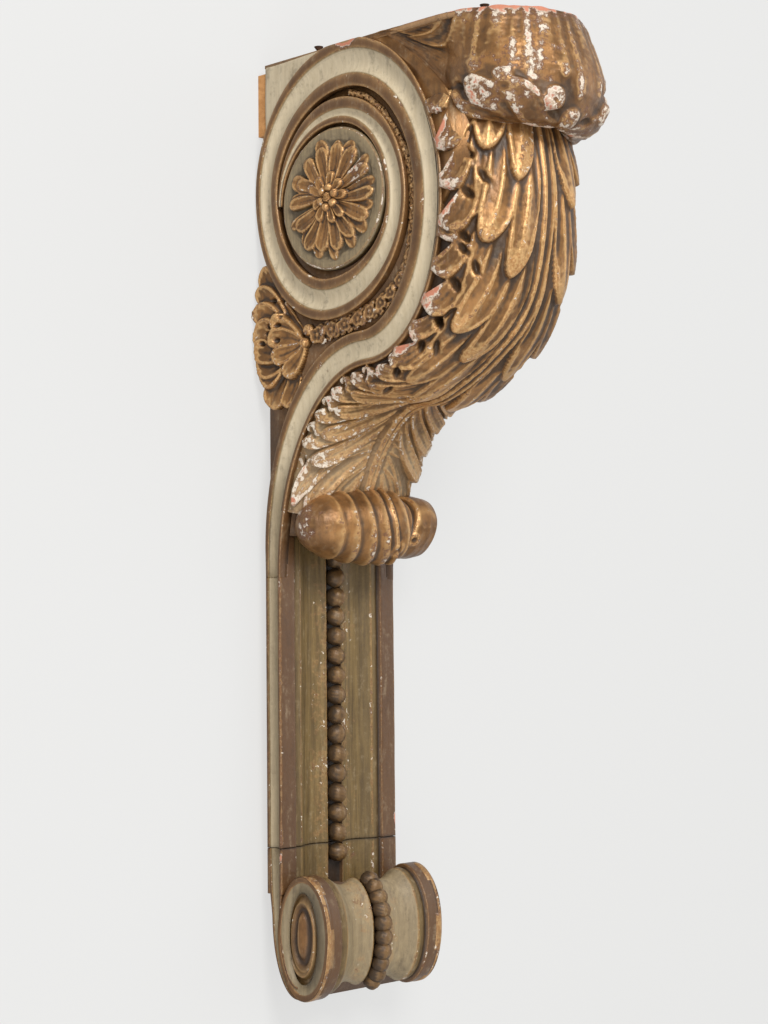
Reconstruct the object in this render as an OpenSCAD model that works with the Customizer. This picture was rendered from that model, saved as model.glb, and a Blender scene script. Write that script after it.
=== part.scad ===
// Carved console bracket: a block with side volutes, a front acanthus leaf,
// a leaf curl at the top, a moulded shaft and an oval foot scroll.
// X is the width, the front faces -Y, +Z is up. The wall plane is Y = 0 and
// the origin is the middle of the batten's rear face.

/* [Overall] */
// Height of the whole bracket
bracket_h = 900; // [880:5:960]
// Width across the flat sides
bracket_w = 158; // [132:1:190]
// Depth of the shaft, back to front arris
shaft_d = 20.4; // [17:0.2:25]

/* [Volute] */
// Furthest reach of the volute's front edge in front of the back plane
volute_reach = 233; // [225:1:250]
// Height of the volute's front edge above the foot
volute_z = 740; // [735:1:750]
// How far the volute swells behind the back plane
volute_swell = 11; // [8:0.5:11.5]
// Relief of the scroll band above the sunk side ground
band_relief = 8; // [5:0.5:10]
// Depth of the cove in the scroll band
cove_depth = 5; // [3:0.5:8]
// Depth by which the top corner block lies below the scroll band
corner_sink = 3; // [1:0.5:5]

/* [Front leaf] */
// Swell of the front leaf at the height of the volute
leaf_swell = 60; // [45:1:70]
// Swell of the front leaf in the hollow of the S
leaf_swell_low = 36; // [25:1:42]
// Depth of the grooves between the leaf's lobes
lobe_depth = 9; // [4:0.5:11]
// Lobes along each side of the leaf
lobe_count = 6; // [5:1:8]

/* [Top curl] */
// Reach of the curl in front of the volute, at the top
curl_top_reach = 90; // [75:1:100]
// Reach of the curl in front of the volute, at its belly
curl_reach = 108; // [90:1:120]
// Height of the curl
curl_h = 102; // [85:1:115]
// Ribs round the curl
curl_ribs = 13; // [9:2:17]

/* [Leaf roll] */
// Radius of the rolled leaf tip
roll_r = 34; // [26:1:36]
// Half length of the rolled leaf tip
roll_half = 82; // [70:1:90]
// Height of the roll's axis above the foot
roll_z = 450; // [440:1:460]

/* [Shaft] */
// Width of the flat fillet along each edge of the shaft
fillet_w = 20; // [16:0.5:24]
// Width of the small step beside the fillet
step_w = 11; // [8:0.5:14]
// Depth of the small step
step_d = 3; // [2:0.5:5]
// Depth of the long coves
channel_d = 11; // [6:0.5:13]
// Radius of a bead
bead_r = 8; // [6:0.25:9]
// Beads on the shaft
bead_count = 15; // [10:1:17]
// Distance from bead to bead
bead_pitch = 19.1; // [17:0.1:21]

/* [Foot] */
// Height of the joint above the foot
joint_z = 143; // [135:1:150]
// Height of the oval scroll
foot_h = 116; // [100:1:122]
// Reach of the scroll in front of the back plane
foot_reach = 82; // [74:1:95]
// Depth of the oval scroll, back to front
foot_d = 68; // [60:1:75]

/* [Rosettes] */
// Radius of the rosette boss
boss_r = 68; // [60:0.5:68.5]
// Depth of the boss's socket below the sunk side ground
boss_seat = 1.5; // [1:0.25:2.5]
// Gap round the boss in its socket
boss_gap = 0.6; // [0.4:0.1:1]
// Height of the boss above its seat
boss_h = 11; // [9:0.5:13]
// Petals of the flower
petal_count = 17; // [12:1:20]
// Radius of the flower
flower_r = 54; // [45:1:56]

/* [Batten and nails] */
// Height of the batten
batten_h = 61; // [50:1:64]
// Length of the batten across the back
batten_w = 146; // [120:1:150]
// Thickness of the batten
batten_t = 12; // [12:0.5:16]
// Distance from the top of the block to the batten
batten_drop = 7; // [4:1:10]
// Radius of the nail shank
nail_r = 1.6; // [1.2:0.1:2.2]
// Gap round the nail in its hole
nail_gap = 0.3; // [0.2:0.05:0.5]
// Depth of the nail in the wood
nail_deep = 40; // [25:1:50]
// Radius of the nail head
nail_head_r = 4.5; // [3.5:0.1:6]
// Height of the nail's underside of the head above the wood
nail_proud = 3; // [1:0.5:6]

/* [Hidden] */
half_w = bracket_w / 2;
ground_x = half_w - band_relief;
socket_x = ground_x - boss_seat;
// How far the raised bands are rooted in the block
band_root = 3;
core_inset = 0.4;
// How far the middle of a bead stands out of its channel
bead_rise = 3;
// How far the leaf's edge stays inside the flat side, and how thick it is
leaf_margin = 2;
leaf_root = 12;
batten_mid = bracket_h - batten_drop - batten_h / 2;
// Steps in each quarter turn of the scroll
turn_steps = 6;

// Axis ends of the scroll band's four lines, from the shaft up the S, over the
// top, down the back and in again: [depth from the back plane, height].
// Outer edge of the band
edge_outer = [
    [-shaft_d, 400], [-140, 593], [-volute_reach, volute_z], [-110, bracket_h + 3],
    [volute_swell, 772], [-88, 640], [-189, 745], [-100, 850], [-21, 757]];
// Line between the outer fillet and the cove
edge_cove_out = [
    [-17, 400], [-138, 598], [-volute_reach + 3, volute_z], [-111, bracket_h - 7],
    [volute_swell - 6, 772], [-88, 649], [-184, 745], [-100, 838], [-23, 757]];
// Line between the cove and the inner fillet
edge_cove_in = [
    [-4, 420], [-132, 616], [-volute_reach + 22, volute_z], [-111, bracket_h - 31],
    [-11, 770], [-89, 668], [-169, 745], [-98, 831], [-24.5, 757]];
// Inner edge of the band
edge_inner = [
    [0, 430], [-130, 625], [-volute_reach + 33, volute_z], [-112, bracket_h - 43],
    [-19, 768], [-90, 677], [-165, 745], [-97, 825], [-26, 757]];
boss_y = -95;
boss_z = 754;
boss_center = [boss_y, boss_z];

// Quarter of an ellipse between two axis ends; upright says that it starts upright
function quarter(a, b, upright) = [for (i = [0 : turn_steps - 1]) let (t = 90 * i / turn_steps)
    upright ? [b.x + (a.x - b.x) * cos(t), a.y + (b.y - a.y) * sin(t)]
            : [a.x + (b.x - a.x) * sin(t), b.y + (a.y - b.y) * cos(t)]];

// Whole line through a list of axis ends, from one end to another
function scroll_line(ends, first, last) = concat(
    [for (k = [first : last - 1]) each quarter(ends[k], ends[k + 1], k % 2 == 0)], [ends[last]]);

function reversed(list) = [for (i = [len(list) - 1 : -1 : 0]) list[i]];

// Strip between two scroll lines
function strip(ends_a, ends_b, first, last) =
    concat(scroll_line(ends_a, first, last), reversed(scroll_line(ends_b, first, last)));

function oval(center, semi, steps) = [for (i = [0 : steps - 1]) let (t = 360 * i / steps)
    [center.x + semi.x * cos(t), center.y + semi.y * sin(t)]];

function mix(a, b, t) = a + (b - a) * t;

// Extrudes a side outline [y, z] across the width, from x0 to x1
module side_plate(x0, x1) {
    translate([x0, 0, 0])
        rotate([90, 0, 90])
            linear_extrude(x1 - x0)
                children();
}

module both_sides() {
    children();
    mirror([1, 0, 0])
        children();
}

// Moves the bracket from its foot to the wall mount
module at_wall() {
    translate([0, -batten_t, -batten_mid])
        children();
}

// ---- Main block -------------------------------------------------------

// Front line of the block, from the top down to the shaft
front_line = reversed(scroll_line(edge_outer, 0, 3));

// The core is drawn in a little, so that only the bands make the outline
module core_outline() {
    top = bracket_h + core_inset;
    offset(delta = -core_inset) {
        polygon(concat([[core_inset, top]], [for (p = front_line) [p.x, min(p.y, top)]], [[core_inset, 400]]));
        intersection() {
            polygon(scroll_line(edge_outer, 2, 5));
            translate([-volute_reach, 0])
                square([volute_reach + volute_swell + 1, top]);
        }
    }
}

module band() {
    side_plate(ground_x - band_root, half_w)
        intersection() {
            polygon(strip(edge_outer, edge_inner, 0, 8));
            translate([-volute_reach - 1, 0])
                square([volute_reach + volute_swell + 2, bracket_h]);
        }
}

// Cove that runs up the side of the shaft and along the whole band
module side_cove() {
    side_plate(half_w - cove_depth, half_w + 1) {
        polygon(strip(edge_cove_out, edge_cove_in, 0, 8));
        polygon([edge_cove_out[0], [edge_cove_out[0].x, joint_z - 1],
                 [edge_cove_in[0].x, joint_z - 1], edge_cove_in[0]]);
    }
}

module corner_block() {
    side_plate(ground_x - band_root, half_w - corner_sink)
        difference() {
            translate([-110, 790])
                square([110, bracket_h - 790]);
            polygon(oval([-110, 772], [110, 120], 40));
        }
}

// Section of the shaft, half of it, front towards -Y
cove_x1 = half_w - fillet_w - step_w;
cove_x0 = bead_r + 2;
// Sweep of the cove's curve: past 90 degrees it rises again beside the beads
cove_sweep = 150;
function cove_profile(steps) = [for (i = [0 : steps]) let (t = i / steps)
    [mix(cove_x1, cove_x0, t), -shaft_d + step_d + (channel_d - step_d) * sin(cove_sweep * t)]];

module shaft_section() {
    half = concat(
        [[half_w, 0], [half_w, -shaft_d], [half_w - fillet_w, -shaft_d],
         [half_w - fillet_w, -shaft_d + step_d], [cove_x1, -shaft_d + step_d]],
        cove_profile(7),
        [[0, -shaft_d + channel_d]]);
    polygon(concat(half, [for (p = reversed(half)) [-p.x, p.y]]));
}

module shaft() {
    translate([0, 0, joint_z])
        linear_extrude(roll_z - joint_z)
            shaft_section();
    for (i = [0 : bead_count - 1])
        translate([0, -shaft_d + channel_d - bead_rise, joint_z + bead_r + i * bead_pitch])
            sphere(bead_r, $fn = 8);
}

// ---- Front leaf -------------------------------------------------------

// Closed faces of a slab that has a front grid and a back grid of points
function slab_faces(rows, cols) =
    let (w = cols + 1, n = (rows + 1) * (cols + 1))
    concat(
        [for (i = [0 : rows - 1], j = [0 : cols - 1]) let (a = i * w + j) each
            [[a, a + 1, a + w + 1], [a, a + w + 1, a + w]]],
        [for (i = [0 : rows - 1], j = [0 : cols - 1]) let (a = n + i * w + j) each
            [[a, a + w + 1, a + 1], [a, a + w, a + w + 1]]],
        [for (i = [0 : rows - 1]) let (a = i * w, b = i * w + cols) each
            [[a, a + w, n + a + w], [a, n + a + w, n + a],
             [b, n + b + w, b + w], [b, n + b, n + b + w]]],
        [for (j = [0 : cols - 1]) let (a = j, b = rows * w + j) each
            [[a, n + a + 1, a + 1], [a, n + a, n + a + 1],
             [b, b + 1, n + b + 1], [b, n + b + 1, n + b]]]);

// Point [y, z] of the block's front line and the way outwards from it; s runs
// from 0 under the curl to 3 at the shaft, one for each quarter of the line
function front_point(s) =
    s < 1 ? let (a = edge_outer[3], b = edge_outer[2], t = 90 * s)
        [a.x + (b.x - a.x) * sin(t), b.y + (a.y - b.y) * cos(t)]
    : s < 2 ? let (a = edge_outer[2], b = edge_outer[1], t = 90 * (s - 1))
        [b.x + (a.x - b.x) * cos(t), a.y + (b.y - a.y) * sin(t)]
    : let (a = edge_outer[1], b = edge_outer[0], t = 90 * (s - 2))
        [a.x + (b.x - a.x) * sin(t), b.y + (a.y - b.y) * cos(t)];

function front_normal(s) =
    let (p = front_point(s - 0.02), q = front_point(s + 0.02), d = q - p)
    [d.y, -d.x] / norm(d);

// Swell of the leaf along the front line
function swell(s) = s < 1.3 ? leaf_swell : mix(leaf_swell, leaf_swell_low, min(1, (s - 1.3) / 0.9));

// Carving across the leaf: a midrib and lobes that sweep down to the edge
function carving(s, t) =
    let (lobes = lobe_depth * pow(abs(sin(180 * (s * lobe_count / 1.9 - 0.9 * abs(t)))), 0.7))
    abs(t) < 0.07 ? 4 : (lobes - lobe_depth * 0.6) * min(1, 3 * (1 - abs(t)) + 0.2);

leaf_start = 0.5;
leaf_end = 2.78;
leaf_rows = 50;
leaf_cols = 18;

module front_leaf() {
    grid = [for (i = [0 : leaf_rows]) let (s = mix(leaf_start, leaf_end, i / leaf_rows))
        [for (j = [0 : leaf_cols]) let (t = mix(-1, 1, j / leaf_cols))
            let (x = (half_w - leaf_margin) * sin(90 * t),
                 across = cos(90 * t),
                 out = swell(s) * pow(max(0, across), 0.9) + carving(s, t) - 2,
                 p = front_point(s) + front_normal(s) * out)
            [x, p.x, p.y]]];
    back = [for (i = [0 : leaf_rows]) let (s = mix(leaf_start, leaf_end, i / leaf_rows))
        [for (j = [0 : leaf_cols]) let (t = mix(-1, 1, j / leaf_cols))
            let (p = front_point(s) - front_normal(s) * leaf_root)
            [(half_w - leaf_margin) * sin(90 * t), p.x, p.y]]];
    points = concat([for (row = grid) each row], [for (row = back) each row]);
    polyhedron(points, slab_faces(leaf_rows, leaf_cols), convexity = 8);
}

// ---- Top curl ---------------------------------------------------------

// Profile of the curl: [share of the reach, height below the top]
curl_profile = [
    [0.15, 0], [0.6, 0], [0.93, 0], [0.99, 0.1], [1, 0.3], [1, 0.5], [0.98, 0.7],
    [0.92, 0.88], [0.83, 0.98], [0.72, 1], [0.6, 0.94], [0.45, 0.75], [0.15, 0.5]];
curl_turn_steps = 32;

module top_curl() {
    m = len(curl_profile);
    points = [for (i = [0 : curl_turn_steps]) let (a = mix(-90, 90, i / curl_turn_steps)) each
        [for (k = [0 : m - 1])
            let (p = curl_profile[k],
                 reach = mix(curl_top_reach, curl_reach, min(1, p.y * 2)),
                 rib = k > 2 && k < 10 ? 1 + 0.035 * cos(a * curl_ribs * 2) : 1)
            [(half_w - 1) * sin(a) * mix(1, p.x, 0.9) * rib / 1.035,
             -volute_reach + 10 - (reach + 10) * cos(a) * p.x * rib,
             bracket_h - curl_h * p.y]]];
    faces = concat(
        [for (i = [0 : curl_turn_steps - 1], k = [0 : m - 1])
            let (a = i * m + k, b = i * m + (k + 1) % m) each [[a, b + m, b], [a, a + m, b + m]]],
        [[for (k = [0 : m - 1]) k], [for (k = [m - 1 : -1 : 0]) curl_turn_steps * m + k]]);
    polyhedron(points, faces, convexity = 8);
    // Neck of the curl, cut back below along its sloping sides
    side_plate(-half_w + 1, half_w - 1)
        polygon([[-110, bracket_h], [-volute_reach - 12, bracket_h], [-volute_reach - 24, bracket_h - 40],
                 [-volute_reach - 24, bracket_h - curl_h + 4], [-volute_reach - 14, bracket_h - curl_h + 10],
                 [-166, bracket_h - 10]]);
}

// ---- Roll, garland and leaf spray --------------------------------------

// The roll rests against the front of the shaft
roll_y = -shaft_d - roll_r + 2;

module leaf_roll() {
    folds = 6;
    steps = 14;
    translate([0, roll_y, roll_z])
        rotate([0, 90, 0])
            rotate_extrude($fn = 20)
                polygon(concat([[0, -roll_half]],
                    [for (i = [0 : steps]) let (t = mix(-1, 1, i / steps))
                        [roll_r * sqrt(1 - pow(abs(t) * 0.93, 4)) - 2 * abs(sin(180 * folds * t)), roll_half * t]],
                    [[0, roll_half]]));
}

// Garland in the hollow between the inner turn and the S band
module garland() {
    count = 17;
    for (i = [0 : count - 1]) {
        t = i / (count - 1);
        inner = quarter_point(edge_inner, t);
        size = mix(8, 3, t);
        translate([ground_x + 1, inner.x, inner.y])
            sphere(size, $fn = 6);
    }
}

// Point on the middle line of the garland, t from 0 below to 1 at the top
function quarter_point(ends, t) =
    let (a = [-88, 628], b = [-volute_reach + 38, volute_z], c = [-108, bracket_h - 46])
    t < 0.55 ? let (u = 90 * t / 0.55) [a.x + (b.x - a.x) * sin(u), b.y + (a.y - b.y) * cos(u)]
             : let (u = 90 * (t - 0.55) / 0.45) [c.x + (b.x - c.x) * cos(u), b.y + (c.y - b.y) * sin(u)];

// Leaf spray at the back below the volute: hulls from the root to each tip
spray_root = [-44, 612];
spray_tips = [
    [4, 690, 6], [8, 668, 7], [7, 636, 8], [2, 600, 7], [-4, 572, 7], [-20, 566, 6],
    [-30, 640, 7], [-62, 622, 7]];

module leaf_spray() {
    for (tip = spray_tips)
        hull() {
            translate([half_w - 2, tip.x - 6, tip.y])
                sphere(tip[2], $fn = 8);
            translate([ground_x, spray_root.x, spray_root.y])
                sphere(9, $fn = 8);
        }
}

module nail_hole(x, y) {
    translate([x, y, bracket_h - nail_deep - 2])
        cylinder(r = nail_r + nail_gap, h = nail_deep + 3, $fn = 16);
}

nail_rear_at = [-66, -66];
nail_front_at = [-50, -262];

module console() {
    color([0.55, 0.5, 0.36])
        at_wall()
            difference() {
                union() {
                    side_plate(-ground_x, ground_x)
                        core_outline();
                    both_sides() {
                        band();
                        corner_block();
                        garland();
                        leaf_spray();
                    }
                    shaft();
                    front_leaf();
                    top_curl();
                    leaf_roll();
                }
                both_sides() {
                    side_cove();
                    side_plate(socket_x, half_w + 1)
                        polygon(oval(boss_center, [boss_r + boss_gap, boss_r + boss_gap], 64));
                }
                nail_hole(nail_rear_at.x, nail_rear_at.y);
                nail_hole(nail_front_at.x, nail_front_at.y);
            }
}

// ---- Foot scroll ------------------------------------------------------

foot_center = [-foot_reach + foot_d / 2, foot_h / 2 + 3];

// Outline of the foot, drawn in by a depth at the front
module foot_outline(depth) {
    polygon(oval(foot_center, [foot_d / 2 - depth, foot_h / 2 - depth], 48));
    polygon(concat(
        [[-shaft_d + depth, joint_z], [0, joint_z], [-2, 110]],
        quarter([-6, 80], [foot_center.x + 8, 4], true),
        [[foot_center.x + 8, 30], [foot_center.x + 8, foot_h - 6], [-shaft_d + depth, foot_h + 2]]));
}

module foot_slab(x0, x1, depth) {
    side_plate(x0, x1)
        foot_outline(depth);
}

// Hollow between the rim and the eye, and the cove that runs down to it
foot_rim = 7;
foot_eye = [13, 28];
foot_cove = 3;

module foot_side_carving() {
    side_plate(half_w - cove_depth, half_w + 1)
        difference() {
            polygon(oval(foot_center, [foot_d / 2 - foot_rim, foot_h / 2 - foot_rim - 1], 40));
            polygon(oval([foot_center.x + 4, foot_center.y + 2], foot_eye, 32));
        }
    side_plate(half_w - foot_cove, half_w + 1)
        polygon([[-16, joint_z + 1], [-5, joint_z + 1], [-8, 84], [-12, 84]]);
}

foot_bead_count = 10;

module foot_scroll() {
    cove_steps = 5;
    color([0.5, 0.45, 0.33])
        at_wall()
            difference() {
                union() {
                    foot_slab(-cove_x0 - 1, cove_x0 + 1, channel_d);
                    both_sides() {
                        foot_slab(half_w - fillet_w, half_w, 0);
                        foot_slab(cove_x1, half_w - fillet_w + 1, step_d);
                        for (i = [0 : cove_steps - 1])
                            foot_slab(mix(cove_x0, cove_x1, i / cove_steps),
                                      mix(cove_x0, cove_x1, (i + 1) / cove_steps) + 0.5,
                                      step_d + (channel_d - step_d)
                                      * sin(cove_sweep * (1 - (i + 0.5) / cove_steps)));
                    }
                    for (i = [0 : foot_bead_count - 1]) {
                        a = mix(118, 252, i / (foot_bead_count - 1));
                        translate([0, foot_center.x + (foot_d / 2 - channel_d + 4) * cos(a),
                                   foot_center.y + (foot_h / 2 - channel_d + 4) * sin(a)])
                            sphere(bead_r - 0.5, $fn = 16);
                    }
                }
                both_sides()
                    foot_side_carving();
            }
}

// ---- Rosettes, batten and nails -----------------------------------------

// Boss with a flower, its back at Z = 0 and its axis along Z
petal_r = 6.5;
petal_root_r = 3.5;
berry_r = 5.5;
berry_ring = 9;
berries = 6;

module rosette() {
    dome = 4;
    rotate_extrude($fn = 64)
        polygon([[0, 0], [boss_r - boss_gap, 0], [boss_r - boss_gap, boss_h - 3],
                 [boss_r - 4, boss_h], [flower_r + 2, boss_h - 1], [0, boss_h + dome - 3]]);
    for (i = [0 : petal_count - 1])
        rotate([0, 0, i * 360 / petal_count]) {
            translate([flower_r * 0.3, 0, boss_h])
                rotate([0, 90, 0])
                    cylinder(r1 = petal_root_r, r2 = petal_r, h = flower_r * 0.55, $fn = 16);
            translate([flower_r * 0.85, 0, boss_h])
                sphere(petal_r, $fn = 16);
        }
    for (i = [0 : berries])
        rotate([0, 0, i * 360 / berries])
            translate([i == berries ? 0 : berry_ring, 0, boss_h + dome])
                sphere(berry_r, $fn = 16);
}

module rosette_at(side) {
    color([0.62, 0.45, 0.26])
        at_wall()
            translate([side * socket_x, boss_y, boss_z])
                rotate([0, side * 90, 0])
                    rosette();
}

module rosette_left() {
    rosette_at(-1);
}

module rosette_right() {
    rosette_at(1);
}

module back_batten() {
    color([0.88, 0.7, 0.52])
        at_wall()
            translate([-batten_w / 2, 0, batten_mid - batten_h / 2])
                cube([batten_w, batten_t, batten_h]);
}

// Cone-headed nail, standing proud of the top
module nail(x, y) {
    color([0.25, 0.24, 0.23])
        at_wall()
            translate([x, y, bracket_h - nail_deep])
                rotate_extrude($fn = 24)
                    polygon([[0, 0], [nail_r, 3], [nail_r, nail_deep + nail_proud],
                             [nail_head_r, nail_deep + nail_proud + 4], [0, nail_deep + nail_proud + 4]]);
}

module nail_rear() {
    nail(nail_rear_at.x, nail_rear_at.y);
}

module nail_front() {
    nail(nail_front_at.x, nail_front_at.y);
}

console();
foot_scroll();
rosette_left();
rosette_right();
back_batten();
nail_rear();
nail_front();
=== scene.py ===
# %% [markdown]
# # A carved, painted and gilt console bracket
# The object is an old wooden console: a square block with two big side volutes, an acanthus leaf that
# hangs down its front, a leaf curl at the top, a moulded shaft with a bead string, and an oval foot
# scroll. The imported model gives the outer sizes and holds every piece; the script repeats its main lines
# in millimetres, and Blender adds the carving and the worn old finish.

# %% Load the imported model
import math
import bmesh
import bpy
import numpy as np
from mathutils import Matrix, Vector


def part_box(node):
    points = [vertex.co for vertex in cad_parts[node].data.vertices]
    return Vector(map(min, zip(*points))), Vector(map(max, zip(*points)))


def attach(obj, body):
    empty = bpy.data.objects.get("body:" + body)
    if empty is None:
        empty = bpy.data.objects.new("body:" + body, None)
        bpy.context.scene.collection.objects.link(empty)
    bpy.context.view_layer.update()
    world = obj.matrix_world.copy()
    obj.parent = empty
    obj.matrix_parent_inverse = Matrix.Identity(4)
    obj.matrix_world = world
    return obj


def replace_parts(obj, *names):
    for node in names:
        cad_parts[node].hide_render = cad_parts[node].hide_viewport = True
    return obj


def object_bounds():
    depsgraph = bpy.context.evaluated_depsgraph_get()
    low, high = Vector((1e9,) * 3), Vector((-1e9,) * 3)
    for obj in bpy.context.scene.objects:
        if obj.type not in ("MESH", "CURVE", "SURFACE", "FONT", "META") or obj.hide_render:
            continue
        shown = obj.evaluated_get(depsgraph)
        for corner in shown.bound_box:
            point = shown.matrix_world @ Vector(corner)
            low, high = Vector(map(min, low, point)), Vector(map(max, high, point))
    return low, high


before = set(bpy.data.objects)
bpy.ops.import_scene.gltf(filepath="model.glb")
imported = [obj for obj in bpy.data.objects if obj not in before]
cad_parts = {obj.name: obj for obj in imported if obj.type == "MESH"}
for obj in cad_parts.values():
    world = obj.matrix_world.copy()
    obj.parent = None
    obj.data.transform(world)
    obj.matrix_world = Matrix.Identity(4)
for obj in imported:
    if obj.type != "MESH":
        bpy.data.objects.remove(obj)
cad_low, cad_high = [np.array(corner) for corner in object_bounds()]
MM = 0.001
print("CAD box", cad_low.round(4), cad_high.round(4))

# %% [markdown]
# ## One frame for all the carving
# The CAD frame has its origin on the wall behind the batten. The carver's measures are easier to read
# from the foot and from the sawn back, so lengths below are in millimetres from there, and one function
# moves them.

# %% Main sizes
BACK_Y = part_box("back_batten")[0].y / MM
FOOT_Z = cad_low[2] / MM - 3
HALF_W = 79.0
GROUND_X = 71.0
TOP_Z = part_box("console")[1].z / MM - FOOT_Z
JOINT_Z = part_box("console")[0].z / MM - FOOT_Z
SHAFT_D = 20.4
SHAFT_TOP = 400.0
BLOCK_FOOT = 438.0
print("back", round(BACK_Y, 2), "top", round(TOP_Z, 2), "joint", round(JOINT_Z, 2))


def to_frame(points):
    """Millimetres from the foot and the sawn back, to metres in the CAD frame."""
    return (np.asarray(points, float) + [0, BACK_Y, FOOT_Z]) * MM


# %% [markdown]
# ## Building meshes from grids
# Carving is a smooth body with relief on it. A grid of points is the simplest way to hold both: one
# function places the body, another gives the relief in millimetres, and the grid is pushed out along its
# own normals. Each vertex also carries four numbers that the finish reads: how pale, how gilt, how raised
# (a number that also carries painted shade and painted highlight) and how bare it is.

# %% Grid helpers
MASKS = ("pale", "gilt", "ridge", "bare")


def grid_faces(rows, cols, wrap=False):
    """Quads of a grid of rows by cols points; wrap joins the last column to the first."""
    i, j = np.meshgrid(np.arange(rows - 1), np.arange(cols if wrap else cols - 1), indexing="ij")
    a = i * cols + j
    b = i * cols + (j + 1) % cols
    return np.stack([a, b, b + cols, a + cols], -1).reshape(-1, 4)


def grid_normals(points, wrap=False):
    """Unit normals of a grid of points, from its own differences."""
    down = np.gradient(points, axis=0)
    if wrap:
        across = (np.roll(points, -1, 1) - np.roll(points, 1, 1)) / 2
    else:
        across = np.gradient(points, axis=1)
    normal = np.cross(across, down)
    return normal / np.maximum(np.linalg.norm(normal, axis=-1, keepdims=True), 1e-9)


def smooth(values, radius, wrap=False):
    """Gaussian blur of a grid, radius in cells along each axis."""
    out = np.asarray(values, float)
    for axis, size in enumerate(radius):
        reach = max(1, int(size * 2.5))
        kernel = np.exp(-0.5 * (np.arange(-reach, reach + 1) / max(size, 0.3)) ** 2)
        kernel /= kernel.sum()
        mode = "wrap" if wrap and axis == 1 else "edge"
        pad = [(reach, reach) if k == axis else (0, 0) for k in range(2)]
        padded = np.pad(out, pad, mode=mode)
        length = out.shape[axis]
        out = sum(w * np.take(padded, np.arange(k, k + length), axis) for k, w in enumerate(kernel))
    return out


def ridges(relief, cells, wrap=False):
    """Where a relief stands above (+) or below (-) its surroundings, about -1 to 1."""
    near = relief - smooth(relief, (cells, cells), wrap)
    wide = relief - smooth(relief, (cells * 3, cells * 3), wrap)
    return np.clip(near * 1.2 + wide * 0.35, -1, 1)


class Shell:
    """Collects points, faces and masks of one piece, then makes the Blender object."""

    def __init__(self):
        self.points, self.faces, self.masks, self.count = [], [], [], 0
        self.flip = False

    def add(self, points, faces, **masks):
        points = np.asarray(points, float).reshape(-1, 3)
        self.points.append(points)
        self.faces.append(np.asarray(faces) + self.count)
        self.count += len(points)
        given = [np.asarray(masks.get(m, 0.0), float).ravel() for m in MASKS]
        self.masks.append(np.stack([np.broadcast_to(values, len(points)) for values in given], -1))

    def make(self, name, material, slot):
        mesh = bpy.data.meshes.new(name)
        faces = [f for block in self.faces for f in block.tolist()]
        mesh.from_pydata(to_frame(np.concatenate(self.points)).tolist(), [], faces)
        masks = np.concatenate(self.masks)
        for k, mask in enumerate(MASKS):
            layer = mesh.attributes.new(mask, "FLOAT", "POINT")
            layer.data.foreach_set("value", masks[:, k].astype(np.float32))
        # Faces that have no area go, and every face is turned outward
        clean = bmesh.new()
        clean.from_mesh(mesh)
        bmesh.ops.dissolve_degenerate(clean, dist=1e-6, edges=clean.edges)
        bmesh.ops.recalc_face_normals(clean, faces=clean.faces)
        clean.to_mesh(mesh)
        clean.free()
        mesh.validate()
        mesh.polygons.foreach_set("use_smooth", [True] * len(mesh.polygons))
        mesh.materials.append(material)
        mesh.update()
        obj = bpy.data.objects.new(name, mesh)
        bpy.context.collection.objects.link(obj)
        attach(obj, "root")
        print(f"{name}: {len(mesh.polygons)} faces")
        return obj


print("masks on each vertex", MASKS)

# %% [markdown]
# ## The finish
# Four layers lie over each other: bare wood, white gesso, red-brown bole, and paint or bronze-coloured
# gilding. Hands, dust and damp have worn them in that order from the ridges down. The hollows are painted
# dark, partly as dirt and partly as painted shade, and the ridges get a painted highlight. One material
# does this from the four numbers on each vertex and a few noises in object space, so wear follows the
# carving.
# Expressions on shader values are written with a small class, so that they read as formulas.

# %% Shader helpers
def rgb(red, green, blue):
    """A colour given in 0 to 255, as the linear values that a shader takes."""
    parts = [v / 255 for v in (red, green, blue)]
    return tuple(v / 12.92 if v <= 0.04045 else ((v + 0.055) / 1.055) ** 2.4 for v in parts) + (1.0,)


class Value:
    """One output of a shader node; arithmetic on it adds Math nodes."""

    def __init__(self, graph, out):
        self.graph, self.out = graph, out

    def math(self, operation, *others):
        terms = dict(enumerate((self,) + others))
        node = self.graph.node("ShaderNodeMath", dict(operation=operation), terms)
        return Value(self.graph, node.outputs[0])

    def __add__(self, other):
        return self.math("ADD", other)

    def __sub__(self, other):
        return self.math("SUBTRACT", other)

    def __rsub__(self, other):
        return (self * -1.0) + other

    def __mul__(self, other):
        return self.math("MULTIPLY", other)

    __radd__ = __add__
    __rmul__ = __mul__

    def between(self, low, high):
        """0 below low, 1 above high, smooth between."""
        node = self.graph.node("ShaderNodeMapRange", dict(interpolation_type="SMOOTHSTEP", clamp=True),
                               {"Value": self, "From Min": low, "From Max": high})
        return Value(self.graph, node.outputs[0])


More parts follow.
